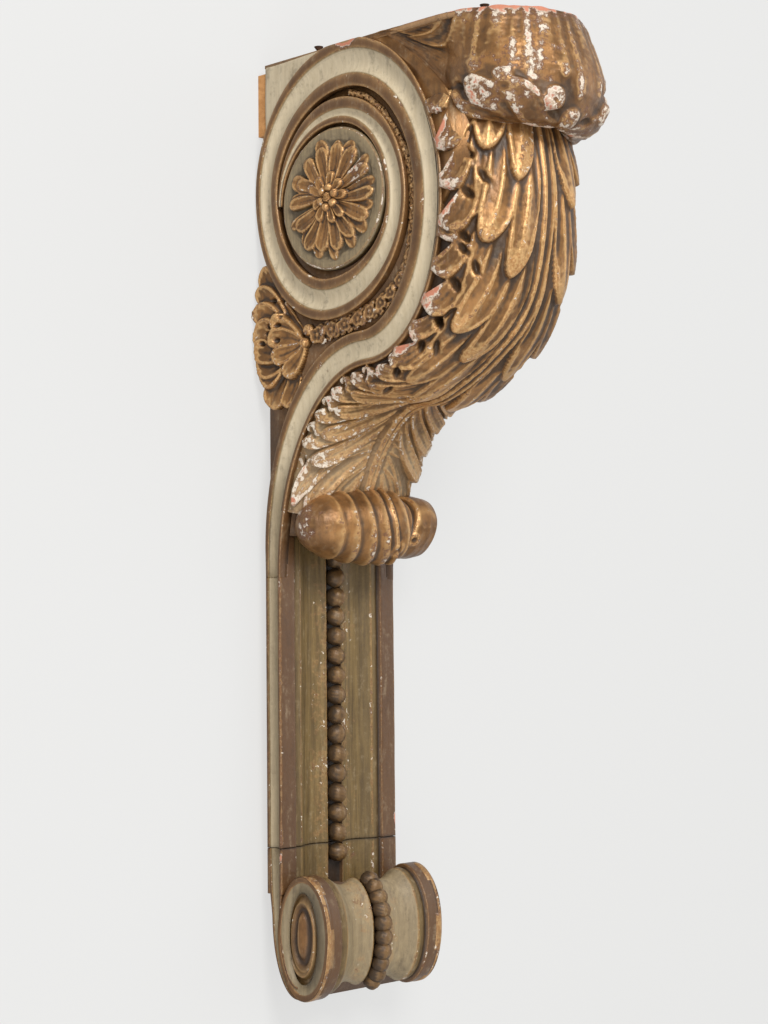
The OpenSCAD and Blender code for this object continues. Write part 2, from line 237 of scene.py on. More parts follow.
class Graph:
    """A material with its node tree, and one method that adds any node."""

    def __init__(self, name):
        self.material = bpy.data.materials.new(name)
        self.material.use_nodes = True
        self.tree = self.material.node_tree
        self.tree.nodes.clear()

    def node(self, kind, settings=(), inputs=()):
        node = self.tree.nodes.new(kind)
        for key, value in dict(settings).items():
            setattr(node, key, value)
        for key, value in dict(inputs).items():
            if isinstance(value, Value):
                self.tree.links.new(value.out, node.inputs[key])
            else:
                node.inputs[key].default_value = value
        return node

    def mask(self, name):
        return Value(self, self.node("ShaderNodeAttribute", dict(attribute_name=name)).outputs["Fac"])

    def place(self, scale=(1, 1, 1)):
        """Object coordinates in metres, stretched by scale."""
        coords = Value(self, self.node("ShaderNodeTexCoord").outputs["Object"])
        node = self.node("ShaderNodeVectorMath", dict(operation="MULTIPLY"), {0: coords, 1: scale})
        return Value(self, node.outputs[0])

    def noise(self, scale, detail=4.0, stretch=(1, 1, 1), rough=0.55, warp=0.0):
        inputs = {"Vector": self.place(stretch), "Scale": scale, "Detail": detail, "Roughness": rough,
                  "Distortion": warp}
        return Value(self, self.node("ShaderNodeTexNoise", (), inputs).outputs[0])

    def mix(self, factor, low, high):
        """A colour: low where factor is 0, high where it is 1."""
        node = self.node("ShaderNodeMix", dict(data_type="RGBA"), {0: factor, 6: low, 7: high})
        return Value(self, node.outputs[2])

    def shade(self, colour, roughness, metallic=0.0, height=None, depth=0.001, specular=0.5):
        """Ends the material with one shader, and a bump of the given depth in metres."""
        inputs = {"Base Color": colour, "Roughness": roughness, "Metallic": metallic,
                  "Specular IOR Level": specular}
        if height is not None:
            bump = self.node("ShaderNodeBump", (), {"Height": height, "Distance": depth, "Strength": 1.0})
            inputs["Normal"] = Value(self, bump.outputs[0])
        shader = self.node("ShaderNodeBsdfPrincipled", (), inputs)
        out = self.node("ShaderNodeOutputMaterial")
        self.tree.links.new(shader.outputs[0], out.inputs[0])
        return self.material


print("middle grey as a shader value", round(rgb(128, 128, 128)[0], 4))

# %% [markdown]
# The old finish reads `pale` (0 brown paint, 1 pale grey-green paint), `gilt` (share of bronze gilding),
# `ridge` (above or below its surroundings; low values also paint shade and high values a highlight) and
# `bare` (how much finish is lost; above 1 the wood never had any). The boards stand upright, so the grain
# and the streaks in the paint are stretched along Z.

# %% Aged paint and gilding
BARE_PINK = rgb(206, 138, 110)
GESSO = rgb(232, 220, 202)
BOLE = rgb(102, 62, 42)
# The dark of the hollows: dirt, and painted shade
DIRT_AND_SHADE = rgb(34, 25, 18)
NEVER_FINISHED = 1.4


def aged_finish():
    g = Graph("aged_finish")
    pale, gilt, ridge, bare = [g.mask(m) for m in MASKS]
    fine = g.noise(420.0, 5.0)
    speck = g.noise(150.0, 6.0, rough=0.7)
    patch = g.noise(26.0, 5.0, rough=0.6)
    broad = g.noise(7.0, 3.0)
    grain = g.noise(70.0, 5.0, stretch=(4.0, 4.0, 0.2), rough=0.65)
    streak = g.noise(46.0, 6.0, stretch=(2.4, 2.4, 0.5), rough=0.7)

    # Paint in three tones and gilding, then the mottle of age over both
    brown = g.mix(broad, rgb(76, 49, 28), rgb(110, 79, 48))
    olive = g.mix(grain.between(0.25, 0.75), rgb(90, 71, 38), rgb(132, 108, 64))
    # Painted shade: the olive goes darker where the ridge mask is low, in the hollows of the mouldings
    olive = g.mix((ridge * -1.0).between(-0.5, 0.5) * 0.35, olive, rgb(70, 54, 30))
    green = g.mix(grain, rgb(180, 162, 130), rgb(224, 209, 180))
    paint = g.mix(pale.between(0.0, 0.5), brown, olive)
    paint = g.mix(pale.between(0.5, 1.0), paint, green)
    gold = g.mix(patch.between(0.35, 0.7), rgb(118, 82, 46), rgb(180, 130, 76))
    gold = g.mix(grain.between(0.45, 0.8) * 0.4, gold, rgb(98, 82, 62))
    # Painted highlight, partly burnished gilt: the gold is lightened on ridges and in random patches
    burnish_and_highlight = (ridge + (patch - 0.5) * 0.9 + (speck - 0.5) * 0.5).between(0.12, 0.75)
    gold = g.mix(burnish_and_highlight * 0.8, gold, rgb(224, 178, 118))
    colour = g.mix(gilt, paint, gold)
    mottle = (speck - 0.5) * 1.2 + (streak - 0.5) * 1.6
    colour = g.mix(mottle.between(0.0, 0.45) * 0.4, colour, rgb(62, 46, 32))
    colour = g.mix((mottle * -1.0).between(0.05, 0.5) * 0.3, colour, rgb(196, 176, 142))

    # Ridges are rubbed bright, partly as wear and partly as a painted highlight, and hollows hold dirt and
    # painted shade
    rub_and_highlight = (ridge * 0.9 + (speck - 0.5) * 1.6 + (patch - 0.5)).between(0.45, 0.8) * (0.35 + gilt * 0.65)
    rubbed_and_highlit = g.mix(fine.between(0.4, 0.6), rgb(180, 126, 76), rgb(216, 174, 118))
    colour = g.mix(rub_and_highlight * 0.75, colour, rubbed_and_highlit)
    # Dirt and painted shade: where the ridge mask is low the colour turns dark
    dirt_and_shade = ((ridge * -1.0) + (speck - 0.5) * 0.5 + (broad - 0.5) * 0.3).between(0.15, 1.0)
    colour = g.mix(dirt_and_shade * (0.8 - pale * 0.35), colour, DIRT_AND_SHADE)

    # The layers go one after another: to the bole, to the gesso, to the wood; then come small chips
    loss = bare.between(0.0, 1.0)
    worn = ridge * 0.26 + (speck - 0.5) * 1.4 + (patch - 0.5) * 1.6 + loss * 0.9
    to_bole = worn.between(0.4, 0.58)
    to_gesso = worn.between(0.58, 0.74)
    to_wood = (worn + loss * 0.35).between(0.92, 1.1)
    colour = g.mix(to_bole * (1 - pale * 0.6) * 0.8, colour, BOLE)
    colour = g.mix(to_gesso * 0.9, colour, g.mix(speck.between(0.4, 0.58), rgb(200, 176, 150), GESSO))
    loose = g.noise(190.0, 4.0, rough=0.65, warp=0.6) + (patch - 0.5) * 0.45 + ridge * 0.08 + loss * 0.08
    chips = loose.between(0.72, 0.75) * ridge.between(0.2, 0.6)
    colour = g.mix(chips, colour, GESSO)
    colour = g.mix(to_wood, colour, g.mix(grain, rgb(188, 116, 88), BARE_PINK))
    sawn = g.mix(grain, rgb(132, 98, 66), rgb(186, 146, 102))
    colour = g.mix(bare.between(1.0, 1.02), colour, sawn)
    dust = (fine - 0.5) * 0.5 + (speck - 0.5) * 0.6
    colour = g.mix(dust.between(0.12, 0.35) * 0.18, colour, rgb(178, 152, 116))

    metal = gilt * (1 - to_bole) * (1 - dirt_and_shade) * 0.55
    rough = 0.36 + pale * 0.2 + to_gesso * 0.25 + dirt_and_shade * 0.12 + (fine - 0.5) * 0.25 + (patch - 0.5) * 0.3
    height = fine * 0.22 + speck * 0.35 + grain * 0.2 - to_bole * 0.25 - to_gesso * 0.25 - to_wood * 0.2
    return g.shade(colour, rough, metal, height, 0.0011)


def raw_wood():
    """The batten's sawn softwood, its grain along X."""
    g = Graph("raw_batten")
    grain = g.noise(95.0, 6.0, stretch=(0.12, 1.0, 1.6), rough=0.65, warp=0.4)
    patch = g.noise(18.0, 4.0)
    saw = g.noise(260.0, 2.0, stretch=(1.0, 1.0, 0.1))
    colour = g.mix(grain.between(0.25, 0.75), rgb(180, 124, 72), rgb(218, 162, 104))
    stain = (patch + (grain - 0.5) * 0.4).between(0.6, 0.8)
    colour = g.mix(stain * 0.45, colour, rgb(120, 88, 66))
    return g.shade(colour, 0.78 + (grain - 0.5) * 0.2, 0.0, grain * 0.7 + saw * 0.3, 0.0008, 0.3)


def old_iron():
    g = Graph("old_iron")
    rust = g.noise(320.0, 5.0).between(0.35, 0.65)
    colour = g.mix(rust, rgb(52, 49, 47), rgb(96, 64, 44))
    return g.shade(colour, 0.55 + rust * 0.3, 0.7 - rust * 0.5, rust, 0.0003)


FINISH = aged_finish()
RAW = raw_wood()
IRON = old_iron()
print("materials", [m.name for m in (FINISH, RAW, IRON)])


# %% [markdown]
# ## The lines of the scroll
# The side of the console is one long band: it rises from the shaft, swings out in an S, goes over the top
# and winds in round the rosette. Each of its four lines is a chain of quarter ellipses, given only by the
# places where the line is upright or level. A carver sets out a volute from such axis ends with a
# compass.

# %% Scroll lines from their axis ends
EDGE_OUTER = [(-SHAFT_D, SHAFT_TOP), (-140, 593), (-233, 740), (-110, TOP_Z + 3),
              (11, 772), (-88, 640), (-189, 745), (-100, 849), (-21, 757)]
COVE_OUTER = [(-17, SHAFT_TOP), (-138, 598), (-230, 740), (-111, TOP_Z - 7),
              (5, 772), (-88, 649), (-184, 745), (-100, 838), (-23, 757)]
COVE_INNER = [(-4, 420), (-132, 616), (-211, 740), (-111, TOP_Z - 31),
              (-11, 770), (-89, 669), (-169, 745), (-98, 831), (-24.5, 757)]
EDGE_INNER = [(0, 430), (-130, 625), (-199, 740), (-112, TOP_Z - 43),
              (-19, 768), (-90, 679), (-165, 745), (-97, 825), (-26, 757)]
SCROLL = (EDGE_OUTER, COVE_OUTER, COVE_INNER, EDGE_INNER)
BOSS_CENTRE = np.array([-95.0, 754.0])
BOSS_R = 67.4


def quarter(a, b, upright, steps):
    """Quarter ellipse between two axis ends, without its last point."""
    t = np.linspace(0, math.pi / 2, steps, endpoint=False)
    if upright:
        return np.stack([b[0] + (a[0] - b[0]) * np.cos(t), a[1] + (b[1] - a[1]) * np.sin(t)], -1)
    return np.stack([a[0] + (b[0] - a[0]) * np.sin(t), b[1] + (a[1] - b[1]) * np.cos(t)], -1)


def scroll_line(ends, first=0, last=None, steps=26):
    last = len(ends) - 1 if last is None else last
    parts = [quarter(ends[k], ends[k + 1], k % 2 == 0, steps) for k in range(first, last)]
    return np.concatenate(parts + [np.array([ends[last]], float)])


def side_points(x, line):
    """Points [x, y, z] of a side line [y, z] at one x, or at an x for each point."""
    line = np.asarray(line, float)
    return np.stack([np.broadcast_to(x, line.shape[:-1]), line[..., 0], line[..., 1]], -1)


rng = np.random.default_rng(7)  # one stream for all small irregularities that follow
print("outer line", len(scroll_line(EDGE_OUTER)), "points")

# %% [markdown]
# ## Profile of the band
# Across the band there is a narrow fillet, a wide hollow that keeps its pale grey-green paint, and a
# second fillet. The strip is a grid whose rows follow the scroll and whose columns follow this profile,
# so every arris stays sharp, and the paint masks come from the column. Years of knocks have rounded the
# arrises.

# %% Band builder
COVE_STEPS = 12
BAND_ROOT = GROUND_X - 3
KNOCK_Y, KNOCK_Z = -114, 902


def band_strip(lines, depth, side, full=HALF_W):
    """A raised band between its outer and inner edge, as a closed grid, with its paint masks."""
    outer, cove_a, cove_b, inner = [np.asarray(line, float) for line in lines]
    n = len(outer)
    along = np.cumsum(np.r_[0, np.linalg.norm(np.diff((outer + inner) / 2, axis=0), axis=1)])
    phases = rng.uniform(0, 6, 3)
    waves = zip((0.5, 0.3, 0.2), (37.0, 13.0, 5.3), phases)
    wave = sum(tall * np.sin(along / pitch + phase) for tall, pitch, phase in waves)
    width_a = np.linalg.norm(cove_a - outer, axis=1)[:, None]
    width_b = np.linalg.norm(inner - cove_b, axis=1)[:, None]
    worn_a, worn_b = np.minimum(1.1, width_a * 0.3), np.minimum(1.1, width_b * 0.3)
    step_a = (cove_a - outer) / np.maximum(width_a, 1e-6)
    step_b = (cove_b - inner) / np.maximum(width_b, 1e-6)
    cols, lift, pale, edge = [], [], [], []

    def column(line, x, is_pale, is_edge):
        cols.append(line)
        lift.append(np.broadcast_to(x, n))
        pale.append(np.full(n, float(is_pale)))
        edge.append(np.full(n, float(is_edge)))

    column(outer, BAND_ROOT, 0, -0.6)
    column(outer, full - 1.6, 0, 0.1)
    column(outer + step_a * worn_a * 0.3, full - 0.5, 0, 1)
    column(outer + step_a * worn_a, full, 0, 0.7)
    column(outer + step_a * width_a * 0.6, full, 0, 0)
    column(cove_a - step_a * worn_a * 0.5, full, 0, 0.6)
    column(cove_a, full - 0.4, 0.5, 1)
    thin = np.clip(np.linalg.norm(cove_b - cove_a, axis=1) / 14, 0.12, 1)
    for k in range(1, COVE_STEPS):
        t = k / COVE_STEPS
        sink = depth * thin * math.sin(math.pi * t) ** 0.75
        # Painted shade: the ridge mask is lowered along both edges of the hollow, so they come out darker
        cove_edge_shade = -0.5 * (t < 0.12) - 0.35 * (t > 0.88)
        column(cove_a + (cove_b - cove_a) * t, full - 0.4 - sink + wave * 0.25, 1, cove_edge_shade)
    column(cove_b, full - 0.6, 0.5, 0.9)
    column(cove_b - step_b * worn_b * 0.6, full - 0.2, 0, 0.6)
    column(inner + step_b * width_b * 0.4, full - 0.3, 0, 0)
    column(inner + step_b * worn_b, full - 0.3, 0, 0.7)
    column(inner + step_b * worn_b * 0.2, full - 0.9, 0, 1)
    column(inner, full - 2.2, 0, 0)
    column(inner, BAND_ROOT, 0, -0.8)
    line = np.stack(cols, 1)
    x = np.stack(lift, 1) + wave[:, None] * 0.14
    line[..., 1] = np.minimum(line[..., 1], TOP_Z)
    points = side_points(x, line) * [side, 1, 1]
    faces = grid_faces(n, len(cols), wrap=True)
    caps = [list(range(len(cols)))[::-1], [(n - 1) * len(cols) + k for k in range(len(cols))]]
    flip = side < 0
    pale = np.stack(pale, 1)
    edge = np.stack(edge, 1)
    gilt = 0.3 * np.clip((line[..., 1] - 430) / 120, 0, 1)
    # The left volute has lost its finish at one knock on the top fillet
    knock = np.exp(-((line[..., 0] - KNOCK_Y) / 13) ** 4 - ((line[..., 1] - KNOCK_Z) / 7) ** 4)
    knock = knock * (side < 0) * (pale < 0.4)
    masks = dict(pale=pale, ridge=edge, gilt=np.where(pale > 0.4, 0, gilt),
                 bare=np.where(edge > 0.5, 0.16, 0.0) + 1.1 * knock)
    return points, faces, caps, masks, flip


def add_closed(shell, points, faces, caps, masks, flip):
    """Adds a grid that closes on itself, with an end cap at each end; flip turns the faces over."""
    faces = faces[:, ::-1] if flip else faces
    start = shell.count
    shell.add(points, faces, **masks)
    shell.faces.append(CapFaces([[start + k for k in (c[::-1] if flip else c)] for c in caps]))


def add_sheet(shell, front, left, right, fold=(), **masks):
    """A carved sheet closed by a plain back of wide quads between its left and right edge.

    Ends named in fold (0 or -1) are closed by joining each point to its mirror, others by one flat face.
    """
    rows, cols = front.shape[:2]
    count = rows * cols
    i = np.arange(rows - 1)
    first, last = i * cols, i * cols + cols - 1
    hide_l, hide_r = count + i, count + rows + i
    quads = np.concatenate([grid_faces(rows, cols),
                            np.stack([first, first + cols, hide_l + 1, hide_l], -1),
                            np.stack([hide_l, hide_l + 1, hide_r + 1, hide_r], -1),
                            np.stack([last + cols, last, hide_r, hide_r + 1], -1)])
    caps = []
    for row in (0, rows - 1):
        ring = [row * cols + j for j in range(cols)]
        ends = [count + row, count + rows + row]
        if row:
            ring, ends = ring[::-1], ends[::-1]
        if (0 if row == 0 else -1) in fold:
            half = cols // 2
            caps += [[ring[k + 1], ring[k], ring[cols - 1 - k], ring[cols - 2 - k]]
                     for k in range(half - 1)]
            if cols % 2:
                caps.append([ring[half], ring[half - 1], ring[cols - half]])
            caps.append([ring[0], ends[0], ends[1], ring[-1]])
        else:
            caps.append(ring[::-1] + ends)
    hidden = {}
    for name, value in masks.items():
        seen = np.broadcast_to(np.asarray(value, float), (rows, cols)).ravel()
        hidden[name] = np.concatenate([seen, np.full(2 * rows, -0.6 if name == "ridge" else 0.0)])
    start = shell.count
    quads = quads[:, ::-1] if shell.flip else quads
    shell.add(np.concatenate([front.reshape(-1, 3), left, right]), quads, **hidden)
    shell.faces.append(CapFaces([[start + k for k in (c[::-1] if shell.flip else c)] for c in caps]))


class CapFaces(list):
    """End caps have more corners than the grid's quads, so they are kept as plain lists."""

    def tolist(self):
        return list(self)


print("band root at", BAND_ROOT, "with", COVE_STEPS, "steps over the hollow")

# %% [markdown]
# ## Core of the block
# Between the bands the block is plain: a prism with the outline of the S, flat on top where it was sawn
# and nailed under a shelf. Its corner beside the band is painted pale and lies a little lower, and its
# back is bare.

# %% Prism and corner
def prism(shell, outline, x0, x1, **masks):
    """A side outline [y, z], anticlockwise as seen from +X, extruded from x0 to x1."""
    outline = np.asarray(outline, float)
    n = len(outline)
    ring = np.concatenate([side_points(x0, outline), side_points(x1, outline)])
    sides = [[k, n + k, n + (k + 1) % n, (k + 1) % n] for k in range(n)]
    start = shell.count
    shell.add(ring, np.array(sides), **masks)
    shell.faces.append(CapFaces([[start + k for k in range(n)], [start + 2 * n - 1 - k for k in range(n)]]))


def ellipse_top(y, centre, semi):
    """Height of the upper half of an ellipse over y."""
    return centre[1] + semi[1] * np.sqrt(np.maximum(0, 1 - ((y - centre[0]) / semi[0]) ** 2))


def front_line(steps=40):
    """The S of the block from the shaft up to the top, as [y, z] points going up."""
    line = scroll_line(EDGE_OUTER, 0, 3, steps)
    line[:, 1] = np.minimum(line[:, 1], TOP_Z)
    return line


def core_piece():
    shell = Shell()
    front = front_line(30)
    front = front[front[:, 1] > BLOCK_FOOT]
    back = [(0, front[0, 1]), (0, TOP_Z)]
    outline = np.concatenate([back, (front + [0.5, 0.0])[::-1]])
    prism(shell, outline, -GROUND_X, GROUND_X, pale=0.1, ridge=-0.3, gilt=0.25)
    # The volutes swell out behind the sawn back
    swell = scroll_line(EDGE_OUTER, 3, 5, 30)
    swell[:, 1] = np.minimum(swell[:, 1], TOP_Z - 1)
    outline = np.concatenate([(swell - [0.7, 0])[::-1], [(-112, 660)]])
    prism(shell, outline, -GROUND_X + 0.2, GROUND_X - 0.2, pale=0.1, ridge=-0.4, bare=0.4)
    return shell


def corner_blocks(shell):
    """The flat pale corner behind the top of each volute, with its worn edges."""
    (top_y, top_z), (back_y, back_z) = EDGE_OUTER[3:5]
    for side in (-1, 1):
        y = np.linspace(-103, -0.2, 44)[None, :]
        low = ellipse_top(y, (top_y, back_z), (back_y - top_y, top_z - back_z)) - 3.0
        low = np.minimum(low, TOP_Z - 0.5)
        z = low + (TOP_Z - 0.3 - low) * np.linspace(0, 1, 34)[:, None]
        edge = np.minimum(TOP_Z - z, -y) / 3.0
        x = 76.0 - 1.3 * np.exp(-edge * 2.0) + 0.25 * np.sin(z / 9.0 + y / 23.0)
        points = np.stack([x * side, np.broadcast_to(y, z.shape), z], -1)
        inner = points.copy()
        inner[..., 0] = side * (GROUND_X - 4)
        ring_edge = np.exp(-edge * 1.4)
        add_slab(shell, points, inner, side > 0, pale=0.93, ridge=ring_edge * 0.5, bare=ring_edge * 0.35)


def add_slab(shell, front, back, flip, keep=None, **masks):
    """A closed slab between a front and a back grid of points; keep says which quads are there."""
    rows, cols = front.shape[:2]
    faces = grid_faces(rows, cols)
    if keep is not None:
        faces = faces[keep.ravel()]
    count = rows * cols
    edges = {}
    for a, b, c, d in faces.tolist():
        for p, q in ((a, b), (b, c), (c, d), (d, a)):
            edges[(p, q)] = (q, p) not in edges
            if not edges[(p, q)]:
                edges[(q, p)] = False
    walls = [(p, p + count, q + count, q) for (p, q), alone in edges.items() if alone]
    everything = np.concatenate([faces, faces[:, ::-1] + count, np.array(walls)])
    if flip:
        everything = everything[:, ::-1]
    points = np.concatenate([front.reshape(-1, 3), back.reshape(-1, 3)])
    both = {}
    for name, value in masks.items():
        flat = np.broadcast_to(np.asarray(value, float), (rows, cols)).ravel()
        rear = np.full(count, -0.6) if name == "ridge" else flat
        both[name] = np.concatenate([flat, rear])
    used = np.zeros(2 * count, bool)
    used[everything.ravel()] = True
    new_index = np.cumsum(used) - 1
    shell.add(points[used], new_index[everything], **{name: value[used] for name, value in both.items()})


def bare_plate(shell, y0, y1, z0, z1, half):
    """A thin plate of sawn wood that never had a finish."""
    prism(shell, [(y0, z0), (y1, z0), (y1, z1), (y0, z1)], -half, half, bare=NEVER_FINISHED)


body = core_piece()
# The back of the block, and its top, where the shelf lay
bare_plate(body, -3, 0.12, BLOCK_FOOT + 5, TOP_Z - 1, GROUND_X - 0.5)
bare_plate(body, -205, -0.4, TOP_Z - 3, TOP_Z + 0.1, 75.5)
corner_blocks(body)
print("block", body.count, "points")

# %% [markdown]
# ## Shaft and its mouldings
# The shaft is a plain board worked with planes: a fillet along each edge, a small step, a long hollow and
# a channel for the beads. It is one section pushed along Z. The colours follow the section: brown on the
# fillets, olive in the hollows, and a narrow pale hollow on each side that runs up into the scroll.

# %% Section of the shaft
CHANNEL = 9.4
STEP_IN = 48.0


def shaft_section():
    """Half of the section from the back corner round to the middle: x, y, pale, ridge."""
    rows = [(76.5, 0, 0, 0), (78.4, -0.5, 0, 0.5), (79, -1.6, 0, 0.8), (79, -2.8, 0, 0.4),
            (78.8, -3.8, 0.2, 0.8)]
    rows += [(78.6 - 4.2 * math.sin(math.pi * t) ** 0.7, -4 - 13 * t, 0.74, -0.2)
             for t in np.linspace(0.06, 0.94, 9)]
    rows += [(78.8, -17.2, 0.2, 0.9), (79, -18, 0, 0.3), (79, -19.4, 0, 0.9), (78.3, -20.2, 0, 1),
             (77.2, -20.5, 0, 0.6)]
    rows += [(x, -20.5, 0, 0.0) for x in (74, 70, 66, 62)]
    rows += [(60.2, -20.5, 0, 0.5), (59.2, -20.1, 0, 1), (58.9, -16.4, 0.1, -1), (57.4, -16.2, 0.3, -0.9)]
    rows += [(x, -17.3, 0.42, 0.0) for x in (54, 51)]
    rows += [(49.2, -17.2, 0.42, 0.9), (STEP_IN, -16.6, 0.45, 0.8)]
    for t in np.linspace(0.08, 1, 14):
        x = STEP_IN + (CHANNEL + 1.6 - STEP_IN) * t
        y = -17.0 + 8.6 * math.sin(math.radians(152 * t))
        rows.append((x, y, 0.5, -0.5 + 1.1 * min(t * 1.4, 1.0) ** 0.6))
    rows += [(CHANNEL + 0.6, -13.4, 0.3, 1), (CHANNEL, -12.6, 0.1, 0.2), (CHANNEL - 0.6, -8.6, 0, -1),
             (3, -8.2, 0, -0.9)]
    return np.array(rows, float)


def full_section():
    half = shaft_section()
    mirrored = half[::-1].copy()
    mirrored[:, 0] *= -1
    return np.concatenate([half, mirrored])


def moulded_run(shell, heights, section, squeeze, chip):
    """Pushes the section through a list of heights; squeeze limits x there, chip is lost finish."""
    n, m = len(heights), len(section)
    x = np.repeat(section[None, :, 0], n, 0)
    y = np.repeat(section[None, :, 1], n, 0)
    z = np.repeat(np.asarray(heights, float)[:, None], m, 1)
    x = np.clip(x, -squeeze[:, None], squeeze[:, None])
    drift = 0.28 * np.sin(z / 31.0 + x / 40.0) + 0.16 * np.sin(z / 8.7 + 2.0)
    y = np.where(y < -1, y + drift * 0.6, y)
    joint = np.exp(-(np.abs(z - JOINT_Z) / 1.6) ** 2)
    ridge = np.repeat(section[None, :, 3], n, 0) * (1 - joint) - joint * 0.9
    points = np.stack([x, y, z], -1)
    faces = grid_faces(n, m, wrap=True)
    caps = [list(range(m)), [(n - 1) * m + k for k in range(m)][::-1]]
    on_back = section[:, 1] > -0.2
    bare = np.maximum(np.where(on_back, NEVER_FINISHED, 0.24 * (ridge > 0.75)), chip)
    masks = dict(pale=np.repeat(section[None, :, 2], n, 0), ridge=ridge, bare=bare)
    add_closed(shell, points, faces[:, ::-1], caps, masks, False)


def shaft_run(shell):
    """The shaft from the joint up into the block, where it is narrower, between the bands."""
    heights = np.r_[JOINT_Z + 0.3, JOINT_Z + 1.2, np.linspace(JOINT_Z + 4, SHAFT_TOP, 120),
                    np.linspace(SHAFT_TOP + 0.2, BLOCK_FOOT + 3, 12)]
    squeeze = np.where(heights > SHAFT_TOP + 0.1, GROUND_X - 1.2, 100.0)
    section = full_section()
    arris = np.exp(-((section[:, 0] - 79) / 3.5) ** 2 - ((section[:, 1] + 18) / 5.0) ** 2)
    chip = np.exp(-((heights - JOINT_Z - 17) / 7.5) ** 4)[:, None] * arris[None, :]
    moulded_run(shell, heights, section, squeeze, chip * 1.2)


shaft_run(body)
for side in (-1, 1):
    # The band starts at the shaft and ends where it dies against the rosette's boss
    lines = [np.concatenate([[(ends[0][0], SHAFT_TOP - 0.2)], scroll_line(ends, 0, 8)]) for ends in SCROLL]
    points, faces, caps, masks, flip = band_strip(lines, 5.2, side)
    masks["pale"] = masks["pale"] * np.clip((points[..., 2] - 330) / 200, 0.74, 1)
    add_closed(body, points, faces, caps, masks, flip)
print("block, shaft and bands", body.count, "points")


# %% [markdown]
# ## Relief made of leaflets
# Acanthus is carved as overlapping tongues: each is a spindle, hollowed with a gouge, with sharp edges
# and a raised tip. A sheet of heights keeps them in order: a later leaflet covers an earlier one, and
# leaflets of one lobe meet in a ridge. Drilled eyes between the lobes are small deep pits.

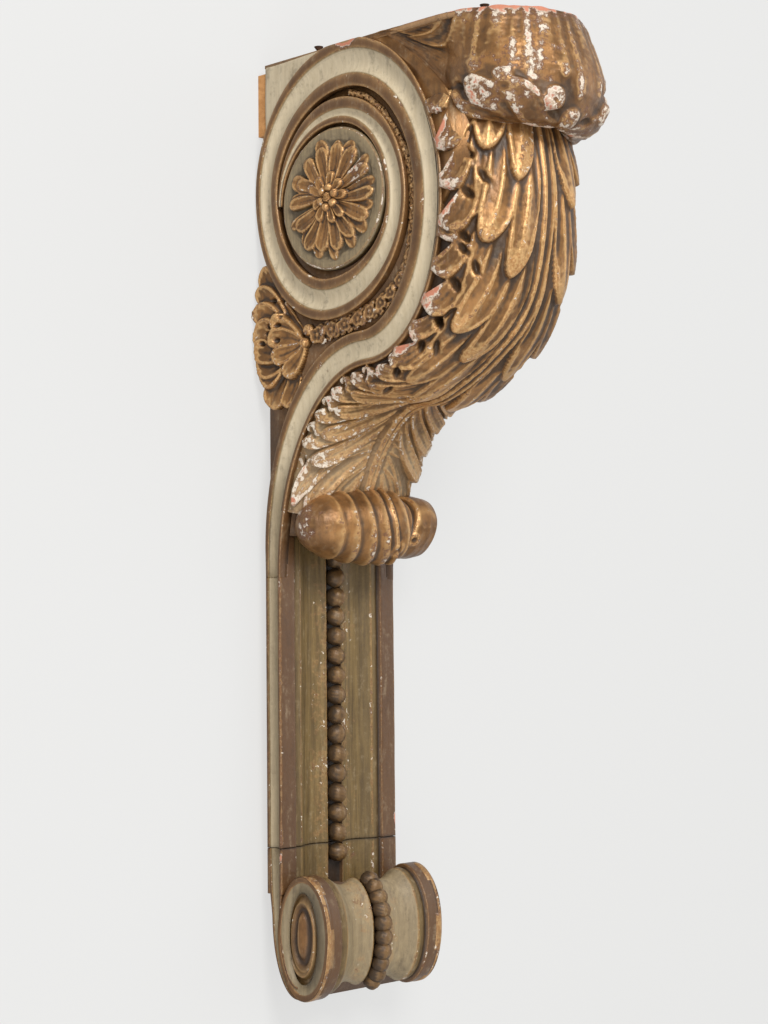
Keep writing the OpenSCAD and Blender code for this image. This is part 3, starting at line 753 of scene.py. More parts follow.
# %% Relief sheet
class Relief:
    """Heights in millimetres over a sheet: a across, b down, any two arrays of one shape."""

    def __init__(self, a, b, ground=0.0):
        self.a, self.b = np.broadcast_arrays(np.asarray(a, float), np.asarray(b, float))
        self.h = np.full(self.a.shape, float(ground))
        self.seen = np.zeros(self.a.shape)

    def lobe(self, toes, soft=1.3):
        """Stamps toes that meet in ridges.

        Each is (root, tip, width, root height, tip height, bend, gouge), then where it is widest, from 0 at
        the root to 1 at the tip. A gouge below 0 leaves a raised middle line with a hollow on each side.
        """
        value = np.full(self.h.shape, -99.0)
        cover = np.zeros(self.h.shape)
        for toe in toes:
            root, tip, width, low, high, bend, gouge = toe[:7]
            fat = toe[7] if len(toe) > 7 else 0.62
            box = self.window(root, tip, width + abs(bend) + 4)
            if box is None:
                continue
            a, b = self.a[box], self.b[box]
            way = np.subtract(tip, root)
            length = math.hypot(*way)
            way = way / length
            t = ((a - root[0]) * way[0] + (b - root[1]) * way[1]) / length
            inside_t = np.clip(t, 0, 1)
            off = (a - root[0]) * -way[1] + (b - root[1]) * way[0]
            off = off - bend * 4 * inside_t * (1 - inside_t)
            rising = np.clip(inside_t / fat, 0, 1)
            closing = np.clip((inside_t - fat) / (1 - fat), 0, 1)
            half = width * (0.18 + 0.82 * np.sin(rising * math.pi / 2) ** 1.3) * np.sqrt(1 - closing ** 2)
            over = np.maximum(np.maximum(-t, t - 1) * length, 0)
            near = np.clip((half - np.abs(off) - over) / soft + 0.5, 0, 1)
            q = np.clip(np.abs(off) / np.maximum(half, 0.4), 0, 1)
            rise = low + (high - low) * inside_t ** 1.4
            if gouge < 0:
                hollow = -gouge * np.sin(math.pi * q ** 0.75) * np.sin(math.pi * inside_t) ** 0.5
                hollow = hollow + 2.0 * q ** 3
            else:
                along = np.sin(math.pi * np.clip(inside_t * 0.92 + 0.06, 0, 1)) ** 0.6
                hollow = gouge * (1 - q ** 2.2) * along
            hollow = hollow + 0.3 * np.cos(q * 3.2 * math.pi) * np.clip(width / 8, 0, 1)
            tip_roll = 1.6 * np.clip((inside_t - 0.86) / 0.14, 0, 1) ** 2
            h = rise - hollow - tip_roll
            value[box] = np.where(near > 0, np.maximum(value[box], h), value[box])
            cover[box] = np.maximum(cover[box], near)
        cover = np.where(value > -98, cover, 0)
        self.h = np.where(cover > 0, self.h * (1 - cover) + value * cover, self.h)
        self.seen = np.maximum(self.seen, cover)

    def window(self, p, q, margin):
        """The part of the sheet that lies near p and q."""
        low = np.minimum(p, q) - margin
        high = np.maximum(p, q) + margin
        hit = (self.a > low[0]) & (self.a < high[0]) & (self.b > low[1]) & (self.b < high[1])
        rows, cols = np.where(hit.any(1))[0], np.where(hit.any(0))[0]
        if not len(rows):
            return None
        return slice(rows[0], rows[-1] + 1), slice(cols[0], cols[-1] + 1)

    def eye(self, centre, size, depth, turn=0.0):
        """A drilled pit, long and narrow if its two sizes differ."""
        c, s = math.cos(math.radians(turn)), math.sin(math.radians(turn))
        a, b = self.a - centre[0], self.b - centre[1]
        u, v = (a * c + b * s) / size[0], (b * c - a * s) / size[1]
        self.h = self.h - depth * np.exp(-((u * u + v * v) ** 1.4))

    def knob(self, centre, radius, height, ring=0.0):
        """A round berry, or a ringed eyelet if ring is above 0."""
        r = np.hypot(self.a - centre[0], self.b - centre[1]) / radius
        dome = np.sqrt(np.maximum(0, 1 - r ** 2)) * height
        dome = dome - ring * np.exp(-(r / 0.45) ** 2)
        top = self.h * 0.3 + dome
        self.h = np.where(r < 1, np.maximum(self.h, top + 0.2), self.h)
        self.seen = np.maximum(self.seen, (r < 1) * 1.0)

    def vein(self, points, half, height, sink=0.0):
        """A raised rib along a smooth line, with a groove on each side."""
        line = np.asarray(points, float)
        t = np.linspace(0, len(line) - 1, len(line) * 14)
        fine = np.stack([np.interp(t, np.arange(len(line)), line[:, k]) for k in (0, 1)], -1)
        fine = np.stack([np.convolve(np.pad(fine[:, k], 9, mode="edge"), np.ones(19) / 19, "valid")
                         for k in (0, 1)], -1)
        share = np.linspace(0, 1, len(fine))
        best = np.full(self.h.shape, 1e9)
        where = np.zeros(self.h.shape)
        for k in range(len(fine) - 1):
            p, q = fine[k], fine[k + 1]
            d = q - p
            span = max(float(d @ d), 1e-9)
            box = self.window(p, q, half[0] * 3 + 4)
            if box is None:
                continue
            a, b = self.a[box] - p[0], self.b[box] - p[1]
            u = np.clip((a * d[0] + b * d[1]) / span, 0, 1)
            gap = np.hypot(a - u * d[0], b - u * d[1])
            closer = gap < best[box]
            best[box] = np.where(closer, gap, best[box])
            where[box] = np.where(closer, share[k], where[box])
        width = half[0] + (half[1] - half[0]) * where
        r = best / width
        double = np.exp(-((r - 0.55) / 0.32) ** 2) * (r < 3) + 0.35 * np.exp(-(r / 0.6) ** 2)
        trough = sink * np.exp(-((r - 1.5) / 0.4) ** 2)
        self.h = self.h + np.where(best < 1e8, height * double - trough, 0)


def mirrored(toes):
    """The same toes on the other side of the midrib."""
    out = []
    for toe in toes:
        (root_a, root_b), (tip_a, tip_b), width, low, high, bend, gouge = toe[:7]
        out.append(((-root_a, root_b), (-tip_a, tip_b), width, low, high, -bend, gouge) + tuple(toe[7:]))
    return out


trial = Relief(np.linspace(-20, 20, 41)[None, :], np.linspace(-20, 20, 41)[:, None])
trial.lobe([((0, -16), (0, 16), 8, 0, 5, 0, 2)])
print("one leaflet stands", trial.h.max().round(1), "mm high")


# %% [markdown]
# ## The front leaf
# One great acanthus leaf hangs from under the curl to the roll. Its body swells like a cushion in front
# of the S, more over the volute and less in the hollow. Lobes leave the double midrib in pairs; over the
# volute they hang steeply with wide toes, and in the hollow they turn into long feathery strands.

# %% Leaf body
LEAF_COLS, LEAF_ROWS = 184, 490
LEAF_HALF = 100.0
LEAF_EDGE_X, LEAF_LIMIT_X = 77.2, 82.5
LEAF_TOP, LEAF_FOOT = 822, 462
# How far up the leaf from its tip each pair of lobes lies; the upper ones have a size too
LOWER_EYES = (58, 90, 122, 154, 187)
UPPER_EYES = ((212, 0.8), (266, 0.9), (336, 1.0), (406, 1.0), (462, 0.9))


def leaf_spine(rows):
    """Points and outward directions along the front of the S, from under the curl down to the roll."""
    fine = front_line(400)[::-1]
    fine = fine[(fine[:, 1] < LEAF_TOP) & (fine[:, 1] > LEAF_FOOT)]
    run = np.r_[0, np.cumsum(np.linalg.norm(np.diff(fine, axis=0), axis=1))]
    b = np.linspace(0, run[-1], rows)
    line = np.stack([np.interp(b, run, fine[:, k]) for k in (0, 1)], -1)
    way = np.gradient(line, axis=0)
    way /= np.linalg.norm(way, axis=1, keepdims=True)
    out = np.stack([way[:, 1], -way[:, 0]], -1)
    return line, out, b


def leaf_surface(spine, outward, b, a):
    """The smooth cushion of the leaf, for all rows b and columns a."""
    heights = (460, 500, 565, 602, 620, 645, 667, 740, 822)
    swell = np.interp(spine[:, 1], heights, (24, 29, 30, 29, 36, 50, 55, 56, 56))
    swell = smooth(swell[:, None], (6, 0.1))[:, 0]
    angle = np.clip(a / LEAF_HALF, -1, 1) * math.pi / 2
    across = np.cos(angle) ** 0.85
    out = 2.0 + swell[:, None] * across[None, :]
    x = LEAF_EDGE_X * np.sin(angle)[None, :] * np.ones(len(b))[:, None]
    y = spine[:, 0:1] + outward[:, 0:1] * out
    z = spine[:, 1:2] + outward[:, 1:2] * out
    return np.stack([x, y, z], -1)


def upper_lobe(eye, scale):
    """Toes of one lobe on the left: four at the margin and two long flames beside the midrib."""
    plan = ((-56, -118, -78, -14, 14.0, 4.5, 2.6, -5), (-78, -122, -97, -74, 11.5, 7.0, 3.0, -4),
            (-76, -88, -97, -40, 12.5, 8.0, 3.2, -4), (-72, -54, -95, -5, 13.5, 9.0, 3.6, -4),
            (-38, -120, -58, 2, 15.5, 8.5, -3.4, -6), (-18, -134, -31, 24, 13.0, 9.0, -3.2, -6))
    toes = []
    for root_a, root_b, tip_a, tip_b, half, high, gouge, bend in plan:
        toes.append(((root_a, eye + root_b * scale), (tip_a, eye + tip_b * scale), half, 0.0, high,
                     bend, gouge, 0.74))
    return toes


def lower_lobe(eye):
    """Long strands of the feathery part, from the midrib down to the margin."""
    toes = []
    for share in (0.0, 0.5, 1.0):
        root = (-4, eye - 122 + 36 * share)
        tip = (-99 + 24 * share ** 3, eye - 27 + 31 * share)
        toes.append((root, tip, 9.0 + 1.5 * share, 0.0, 8.0 + 2.0 * share, -12, 3.8, 0.86))
    return toes


def carve_leaf():
    spine, outward, b = leaf_spine(LEAF_ROWS)
    a = np.linspace(-LEAF_HALF, LEAF_HALF, LEAF_COLS)
    relief = Relief(a[None, :], b[:, None])
    relief.h = relief.h - 1.5 - 2.0 * np.clip((np.abs(a) - 70) / 25, 0, 1)[None, :]
    total = b[-1]
    print("leaf length", round(total, 1))
    # The leaf is laid from its tip upwards, so that each lobe covers the root of the next one down
    last = [((-6, total - 96), (-90, total - 8), 15, 0, 6, 14, 4.5),
            ((-5, total - 80), (-66, total + 4), 14, 0, 5, 12, 4),
            ((-4, total - 62), (-36, total + 6), 12, 0, 4, 8, 3)]
    for toes in (last, mirrored(last)):
        relief.lobe(toes)
    for up in LOWER_EYES:
        for side, shift in ((-1, 0.0), (1, 9.0)):
            eye = total - up + shift
            toes = lower_lobe(eye)
            relief.lobe(mirrored(toes) if side > 0 else toes, 1.1)
            relief.eye((side * 90, eye + 5), (8.5, 2.8), 7.0, side * -24)
    for up, scale in UPPER_EYES:
        for side, shift in ((-1, 0.0), (1, 12.0)):
            eye = total - up + shift
            for toe in upper_lobe(eye, scale):
                relief.lobe(mirrored([toe]) if side > 0 else [toe], 1.5)
            for drop in (0, -36, -68):
                relief.eye((side * 76, eye + drop * scale), (6.5, 3.0), 7.0, side * -30)
            relief.eye((side * 60, eye + 22 * scale), (6.0, 3.0), 6.0, side * -50)
    midrib = [(1, 0), (2, 120), (0, 240), (-1, total - 150), (0, total - 60), (0, total)]
    relief.vein(midrib, (9.0, 4.5), 3.4, 2.2)
    return spine, outward, b, a, relief


spine, outward, leaf_b, leaf_a, leaf_relief = carve_leaf()
tool_marks = smooth(rng.normal(0, 1, leaf_relief.h.shape), (1.2, 1.2))
tool_marks = tool_marks + smooth(rng.normal(0, 1.5, leaf_relief.h.shape), (4, 3))
leaf_h = smooth(leaf_relief.h, (0.7, 0.6)) + tool_marks * 0.35
leaf_base = leaf_surface(spine, outward, leaf_b, leaf_a)
leaf_normal = grid_normals(leaf_base)
facing = np.sign(np.mean(leaf_normal[..., 1]))
leaf_points = leaf_base - leaf_normal * facing * leaf_h[..., None]
leaf_points[..., 0] = np.clip(leaf_points[..., 0], -LEAF_LIMIT_X, LEAF_LIMIT_X)
hidden_edges = [np.concatenate([np.full((LEAF_ROWS, 1), 76.0 * way), spine - outward * 7], 1)
                for way in np.sign([leaf_base[0, 0, 0], leaf_base[0, -1, 0]])]
print("leaf facing", facing, "relief", leaf_relief.h.min().round(1), leaf_relief.h.max().round(1))
# The lower part is worn paler, the right of the upper part is darkened as painted shade, and the margins
# have lost most
lower = np.clip((leaf_b[:, None] - 260) / 120, 0, 1)
margin = np.abs(leaf_a)[None, :]
leaf_wear_and_shade = 0.95 * lower + 0.06 - 0.75 * np.clip(leaf_base[..., 0] / 60, 0, 1) * (1 - lower)
leaf_ridge = ridges(leaf_h, 2.6) - 0.25 * (leaf_relief.seen < 0.3) + leaf_wear_and_shade
leaf_gilt = np.clip(0.95 - 0.25 * margin / 100 - 0.38 * lower, 0, 1)
leaf_bare = np.clip((margin - 62) / 60 + np.clip((leaf_b[:, None] - 200) / 900, 0, 0.25), 0, 0.5)
front_leaf = Shell()
front_leaf.flip = facing < 0
add_sheet(front_leaf, leaf_points, *hidden_edges, gilt=leaf_gilt, ridge=leaf_ridge,
          bare=leaf_bare * (1 - 0.45 * lower), pale=0.75 * lower)

# %% [markdown]
# ## The curl at the top
# Above the leaf a second, shorter leaf bends forward under the shelf. Seen from above it is half an oval.
# Its sides are deep smooth hollows that end in a sharp gilt edge; its front is a row of upright worn
# ribs, and its lower edge turns up in big diagonal toes with ringed knobs between them.

# %% Curl surface
CURL_COLS, CURL_ROWS = 330, 150
CURL_HALF, CURL_LIMIT_X = 77.5, 83.5
CURL_ROOT_Y, CURL_TURN_Y, CURL_REACH = -112, -228, 88.0


def curl_plan(cols):
    """The curl seen from above: [x, y] from the left round the front to the right, and its run."""
    t = np.linspace(-math.pi / 2, math.pi / 2, 400)
    arc = np.stack([CURL_HALF * np.sin(t), CURL_TURN_Y - CURL_REACH * np.cos(t) ** 0.93], -1)
    sides = np.linspace(CURL_ROOT_Y, CURL_TURN_Y, 60, endpoint=False)
    left = np.stack([np.full(60, -CURL_HALF), sides], -1)
    line = np.concatenate([left, arc, left[::-1] * [-1, 1]])
    run = np.r_[0, np.cumsum(np.linalg.norm(np.diff(line, axis=0), axis=1))]
    s = np.linspace(0, run[-1], cols)
    return np.stack([np.interp(s, run, line[:, k]) for k in (0, 1)], -1), s - run[-1] / 2


def curl_surface():
    """The curl before it is carved: deep hollows at the sides, a swelling front that tucks in below."""
    plan, s = curl_plan(CURL_COLS)
    way = np.gradient(plan, axis=0)
    way /= np.linalg.norm(way, axis=1, keepdims=True)
    out = np.stack([way[:, 1], -way[:, 0]], -1)
    out *= np.sign(-out[len(out) // 2, 1])
    depth = CURL_ROOT_Y - plan[:, 1]
    low_z = np.interp(depth, (0, 54, 86, 124, 147, 200), (TOP_Z - 4, TOP_Z - 5, 867, 826, 802, 797))
    v = np.linspace(0, 1, CURL_ROWS)[:, None]
    bulge = np.clip((depth - 118) / 60, 0, 1) ** 0.8
    hollow = np.exp(-((depth - 112) / 38.0) ** 2)
    drop = np.interp(v, (0, 0.04, 0.16, 0.45, 0.62, 0.78, 0.88, 0.95, 1),
                     (0, 0.0, 0.1, 0.42, 0.64, 0.87, 0.98, 1.0, 0.94))
    push = np.interp(v, (0, 0.04, 0.16, 0.4, 0.55, 0.7, 0.82, 0.9, 1), (-3, 0, 5, 13, 17, 16, 8, -2, -26))
    dip = np.interp(v, (0, 0.1, 0.5, 0.85, 1), (0, 3, 17, 9, 0))
    z = (TOP_Z - 0.4) - (TOP_Z - 0.4 - low_z)[None, :] * drop
    shift = push * (0.12 + 0.88 * bulge[None, :]) - dip * hollow[None, :]
    shift = np.where(bulge[None, :] <= 0, np.minimum(shift, 0.5), shift)
    x = plan[None, :, 0] + out[None, :, 0] * shift
    y = plan[None, :, 1] + out[None, :, 1] * shift
    return np.stack([x, y, np.broadcast_to(z, x.shape)], -1), s, depth


def carve_curl(s):
    """Relief over the curl: a runs round it, b runs down its face (0 to 130)."""
    b = np.linspace(0, 130, CURL_ROWS)
    relief = Relief(s[None, :], b[:, None])
    # Lobes near the sides, then the ribs of the front, then the toes that turn up below
    for side in (-1, 1):
        relief.lobe([((side * 150, 6), (side * 206, 30), 13, 0, 3, 6 * side, 2.5),
                     ((side * 140, 2), (side * 178, 44), 14, 0, 4, 8 * side, 3.0)])
        relief.eye((side * 186, 16), (5, 4), 6)
        relief.lobe([((side * 112, -6), (side * 168, 62), 13, 0, 4.0, 12 * side, 3.5, 0.7)], 3.0)
    for k in range(-4, 5):
        a = k * 21.0 + (3.0 if k % 2 else -2.0)
        tip = (a * 1.04, 96 - 7 * (k % 3))
        relief.lobe([((a * 0.93, -12), tip, 12.0, 0.5, 4.0, 3.0 * (-1) ** k, -2.6, 0.5)], 4.0)
    toes = ((30, 122, 96, 84, 11), (48, 126, 112, 100, 9), (8, 124, 62, 88, 11), (74, 128, 128, 116, 8))
    for side in (-1, 1):
        for k, (a, d, tip_a, tip_d, half) in enumerate(toes):
            relief.lobe([((side * a, d), (side * tip_a, tip_d), half * 1.15, 3.0, 8.5 - k * 0.6, 5 * side,
                          -2.6 if k % 2 else 2.4, 0.6)], 2.2)
        relief.knob((side * 34 + 8, 98), 9.5, 8.5, 4.5)
        relief.knob((side * 66, 84), 8.0, 7.0, 3.0)
        relief.eye((side * 106, 92), (5, 3), 7, 30 * side)
        relief.eye((side * 22, 110), (6, 3), 6, -20 * side)
    relief.knob((-4, 112), 10, 7, 2)
    return relief, b


curl_base, curl_s, curl_depth = curl_surface()
curl_relief, curl_b = carve_curl(curl_s)
lump = smooth(rng.normal(0, 1, curl_base.shape[:2]), (5, 5)) * 2.6
lump = lump + smooth(rng.normal(0, 1, curl_base.shape[:2]), (1.5, 1.5)) * 0.6
side_calm = np.clip((curl_depth - 20) / 60, 0, 1)[None, :]
curl_h = (smooth(curl_relief.h, (1.3, 1.3)) + lump) * side_calm * np.clip(curl_b / 5, 0, 1)[:, None]
curl_normal = grid_normals(curl_base)
curl_facing = np.sign(curl_normal[CURL_ROWS // 2, CURL_COLS // 2, 1])
curl_points = curl_base - curl_normal * curl_facing * curl_h[..., None]
curl_points[..., 0] = np.clip(curl_points[..., 0], -CURL_LIMIT_X, CURL_LIMIT_X)
curl_points[..., 2] = np.minimum(curl_points[..., 2], TOP_Z - 0.2)
# The gilt edge of the side hollows gets a painted highlight and their middle painted shade; the front and
# the top edge are worn
share = np.linspace(0, 1, CURL_ROWS)[:, None]
side_zone = np.clip((118 - curl_depth) / 20, 0, 1)[None, :]
side_highlight_and_shade = 0.9 * np.exp(-((share - 0.9) / 0.05) ** 2) - 0.5 * np.exp(-((share - 0.5) / 0.3) ** 2)
curl_ridge = ridges(curl_h, 2.5) + 0.3 * np.clip((curl_depth - 112) / 40, 0, 1)[None, :] - 0.12
curl_ridge = curl_ridge + side_zone * side_highlight_and_shade
top_band = np.exp(-curl_b / 9.0)[:, None]
toe_zone = np.clip((curl_b[:, None] - 70) / 40, 0, 1) * (np.abs(curl_s)[None, :] < 130)
curl_bare = top_band * 0.9 + 0.1 * toe_zone + 0.37 * np.clip((curl_depth - 118) / 40, 0, 1)[None, :]
curl_gilt = np.clip(0.62 + 0.3 * np.exp(-((curl_b[:, None] - 50) / 30) ** 2), 0, 1)
top_curl = Shell()
top_curl.flip = curl_facing < 0
inward = np.array([6.0, 0, 0]) * np.sign(curl_points[0, 0, 0])
add_sheet(top_curl, curl_points, curl_points[:, 0] - inward, curl_points[:, -1] + inward, (0, -1),
          gilt=curl_gilt, ridge=curl_ridge, bare=np.clip(curl_bare, 0, 1))


def curl_lid(shell):
    """The flat top of the curl, bare where the shelf lay on it."""
    rim = curl_points[0]
    t = np.array([0, 0.02, 0.06, 0.14, 0.3, 0.55, 0.98])[:, None]
    x = rim[None, :, 0] * (1 - t)
    y = rim[None, :, 1] * (1 - t) + -130.0 * t
    z = TOP_Z - 0.25 - 0.5 * np.exp(-t / 0.03) * np.ones_like(x)
    front = np.stack([x, y, z], -1)
    add_slab(shell, front, front - [0, 0, 5], curl_facing > 0, bare=NEVER_FINISHED)


def curl_neck(shell):
    """The gilt strip of the block that shows between the volute's fillet and the curl's edge."""
    rising = front_line(30)
    rising = rising[rising[:, 1] > 720]
    under = [(-150, 899), (-167, 896), (-200, 869), (-238, 829), (-260, 803), (-254, 760)]
    rising[:, 1] = np.minimum(rising[:, 1], TOP_Z - 1)
    prism(shell, np.concatenate([rising + [2, 0], under]), -76.8, 76.8, gilt=0.9, ridge=0.2, bare=0.05)


curl_lid(top_curl)
curl_neck(top_curl)
print("curl", top_curl.count, "points")

# %% [markdown]
# ## The rolled tip
# The tip of the big leaf curls up into a roll that lies across the shaft. Its folds run round it as
# C-shaped ridges; the left end is a worn pale knob and the right end is a second, longer one behind a
# deep notch.

# %% Roll
ROLL_AXIS = np.array([-54.0, 450.0])
ROLL_X = (-81, 86)
ROLL_COLS, ROLL_ROWS = 210, 150


def leaf_roll_piece():
    """A rounded body with folds, two rings, a notch and a knob at the right, closed at both ends."""
    x = np.linspace(*ROLL_X, ROLL_COLS)
    angle = np.linspace(0, 2 * math.pi, ROLL_ROWS, endpoint=False)
    profile = np.interp(x, (-81, -80, -77, -71, -62, -48, -30, -8, 14,
                            34, 41, 45, 52, 64, 76, 83, 85.5, 86),
                        (1, 7, 14, 20, 25, 28.5, 31.5, 33.5, 34,
                         32.5, 29.5, 29, 31, 31.5, 29, 20, 10, 1))
    folds = ((-56, 2.6, 7.0, 8), (-40, 3.6, 7.5, 14), (-21, 4.0, 7.5, 18), (-3, 4.2, 7.0, 21),
             (9, 4.6, 3.5, 22), (26, 3.6, 8.0, 17))
    relief = np.zeros((ROLL_ROWS, ROLL_COLS))
    lean = np.cos(angle - 0.4)[:, None]
    xx = x[None, :]
    for at, tall, thick, bow in folds:
        centre = at + bow * (1 - lean) * 0.9
        d = (xx - centre) / thick
        fold = np.where(d < 0, np.exp(-(d / 1.5) ** 2), np.exp(-(d / 0.55) ** 2))
        relief += tall * fold * np.clip((52 - centre) / 14, 0, 1)
    notch = np.exp(-((xx - 43 - 4 * np.sin(angle * 2)[:, None]) / 2.6) ** 2)
    relief -= 5.0 * notch * np.clip(0.6 + 0.6 * np.cos(angle - 1.0)[:, None], 0, 1)
    for at, turn, size in ((20, -0.7, 6), (46, -0.5, 5)):
        round_it = ((angle[:, None] - turn + math.pi) % (2 * math.pi)) - math.pi
        ring = np.hypot((xx - at) / size, round_it * 30 / size)
        relief += 1.8 * np.exp(-((ring - 1) / 0.4) ** 2) - 1.6 * np.exp(-(ring / 0.6) ** 2)
    knob = np.exp(-((xx - 70) / 16) ** 2)
    relief += knob * 1.6 * np.sin(angle * 3 + 0.5)[:, None]
    relief += smooth(rng.normal(0, 1, relief.shape), (3, 3), True) * 1.6
    relief = smooth(relief.T, (0.8, 0.8), True).T * np.clip(profile / 20, 0.15, 1)
    radius = profile[None, :] + relief
    lift = np.interp(x, (-81, 40, 60, 86), (-2, 0, 2, 3))[None, :]
    y = ROLL_AXIS[0] - radius * np.cos(angle)[:, None]
    z = ROLL_AXIS[1] + lift + radius * np.sin(angle)[:, None]
    points = np.stack([np.broadcast_to(xx, y.shape), y, z], -1).transpose(1, 0, 2)
    shell = Shell()
    faces = grid_faces(ROLL_COLS, ROLL_ROWS, wrap=True)
    ridge = ridges(relief, 2.5).T
    end_wear = np.clip((np.abs(x) - 62) / 20, 0, 1)[:, None] * (x < 0)[:, None]
    caps = [list(range(ROLL_ROWS))[::-1], [(ROLL_COLS - 1) * ROLL_ROWS + k for k in range(ROLL_ROWS)]]
    masks = dict(gilt=(0.8 - 0.3 * end_wear) * np.ones_like(ridge), ridge=ridge + 0.35 * end_wear,
                 bare=np.clip(0.14 + 0.42 * end_wear + 0.1 * np.clip(ridge, 0, 1), 0, 1))
    add_closed(shell, points, faces, caps, masks, False)
    return shell


leaf_roll = leaf_roll_piece()
print("roll", leaf_roll.count, "points")

# %% [markdown]
# ## Carving on the sides
# A spray of small leaves fills the corner behind the S, and a garland of little flowers climbs from it
# between the volute and the S. Both are relief on the sunk ground, cut away to nothing between the
# leaves.

# %% Spray and garland
FOLIAGE_CELL = 0.95


def small_flower(relief, centre, size, turn):
    """Five petals round a berry."""
    for k in range(5):
        angle = turn + 2 * math.pi * k / 5
        tip = (centre[0] + size * math.cos(angle), centre[1] + size * math.sin(angle))
        relief.lobe([(centre, tip, size * 0.5, 3.6, 5.2, 0.4, 1.4, 0.62)], 0.9)
    relief.knob(centre, size * 0.34, 4.4, 1.0)


def carve_foliage(draw):
    y = np.arange(-207, 12.0, FOLIAGE_CELL)
    z = np.arange(556, 862.0, FOLIAGE_CELL)
    relief = Relief(y[None, :], z[:, None])
    # Each leaf: root, tip, width, heights; the back ones first
    fans = [((-34, 610), (-6, 563), 15, 3, 9, 3, 4.0), ((-44, 608), (-26, 562), 10, 2, 8, -2, 3.0),
            ((-52, 632), (-4, 678), 13, 3, 10, -4, 4.0), ((-40, 640), (4, 702), 12, 3, 9, -6, 4.0),
            ((-34, 622), (8, 682), 12, 4, 12, 4, 4.0), ((-30, 612), (4, 588), 13, 4, 12, 2, 4.0),
            ((-34, 624), (10, 662), 13, 6, 15, 3, 4.4), ((-34, 614), (9, 604), 13, 6, 14, -3, 4.4),
            ((-36, 619), (10, 640), 15, 8, 16, 3, 5.0), ((-36, 616), (10, 622), 12, 8, 16, -3, 4.6)]
    for *ends, width, low, high, bend, gouge in fans:
        relief.lobe([(ends[0], ends[1], width, low, high, bend, gouge, 0.76)], 1.4)
    near = (((-14, 650), 9, 15), ((-10, 630), 10, 16), ((-14, 610), 9, 15), ((-28, 592), 9, 12))
    for tip, width, high in near:
        relief.lobe([((-56, 622), tip, width, 8, high, draw.uniform(-3, 3), 3.6, 0.8)], 1.4)
    berries = ((-20, 640, 6.5), (-22, 622, 6.0), (-58, 634, 6.5), (-66, 626, 6.0), (-54, 622, 5.5))
    for y_at, z_at, size in berries:
        relief.knob((y_at, z_at), size, 9.0, 2.0)
    for k in range(8):
        relief.eye((draw.uniform(-38, 2), draw.uniform(590, 674)), (3.0, 2.2), 6)
    # The garland runs from the spray round the volute: pairs of leaflets, and flowers and berries in turn
    line = np.array([(-64, 626), (-85, 631), (-118, 636), (-150, 646), (-174, 662), (-187, 681),
                     (-193, 705), (-195, 736), (-192, 764), (-183, 787), (-173, 803), (-157, 826),
                     (-136, 844), (-112, 853)], float)
    run = np.r_[0, np.cumsum(np.linalg.norm(np.diff(line, axis=0), axis=1))]
    place, count = 6.0, 0
    while place < run[-1]:
        share = place / run[-1]
        size = np.interp(share, (0, 0.3, 0.7, 1), (9.8, 7.6, 4.2, 2.8))
        at = np.array([np.interp(place, run, line[:, k]) for k in (0, 1)])
        ahead = np.array([np.interp(place + 2, run, line[:, k]) for k in (0, 1)]) - at
        ahead /= max(np.linalg.norm(ahead), 1e-6)
        aside = np.array([-ahead[1], ahead[0]])
        for way in (-1, 1):
            tip = at + aside * way * size * 0.95 + ahead * size * 0.9
            relief.lobe([(tuple(at), tuple(tip), size * 0.42, 2.2, 4.2, way * 1.5, 1.2, 0.65)], 0.9)
        if count % 2 == 0:
            small_flower(relief, tuple(at + aside * draw.uniform(-1, 1)), size * 0.86, draw.uniform(0, 6))
        else:
            for k in range(3):
                spot = at + draw.uniform(-0.4, 0.4, 2) * size
                relief.knob(tuple(spot), size * 0.36, 5.2, 0.6)
        place += size * 0.98
        count += 1
    return y, z, relief


def foliage_piece(side):
    draw = np.random.default_rng(20 + side)
    y, z, relief = carve_foliage(draw)
    height = smooth(relief.h, (0.6, 0.6)) + smooth(draw.normal(0, 1, relief.h.shape), (1.3, 1.3)) * 0.5
    keep = relief.seen > 0.45
    quads = keep[:-1, :-1] & keep[1:, :-1] & keep[:-1, 1:] & keep[1:, 1:]
    top = np.clip(GROUND_X + np.maximum(height, 0.4), 0, 89)
    front = np.stack(np.broadcast_arrays(top * side, y[None, :], z[:, None]), -1)
    back = front.copy()
    back[..., 0] = side * (GROUND_X - 2.0)
    ridge = ridges(height, 1.8)
    shell = Shell()
    spray = np.clip((y[None, :] + 75) / 20, 0, 1) * np.ones_like(top)
    add_slab(shell, front, back, side < 0, keep=quads, gilt=0.55 + 0.35 * spray, ridge=ridge,
             bare=np.clip(0.2 - 0.14 * spray + 0.12 * np.clip(ridge, 0, 1), 0, 1))
    return shell


foliage = {side: foliage_piece(side) for side in (-1, 1)}
print("foliage", [shell.count for shell in foliage.values()], "points")

# %% [markdown]
# ## Rosettes
# Each volute closes on a round boss with a worn flower: long creased petals of uneven length in two
# layers, and a knot of berries in the middle.

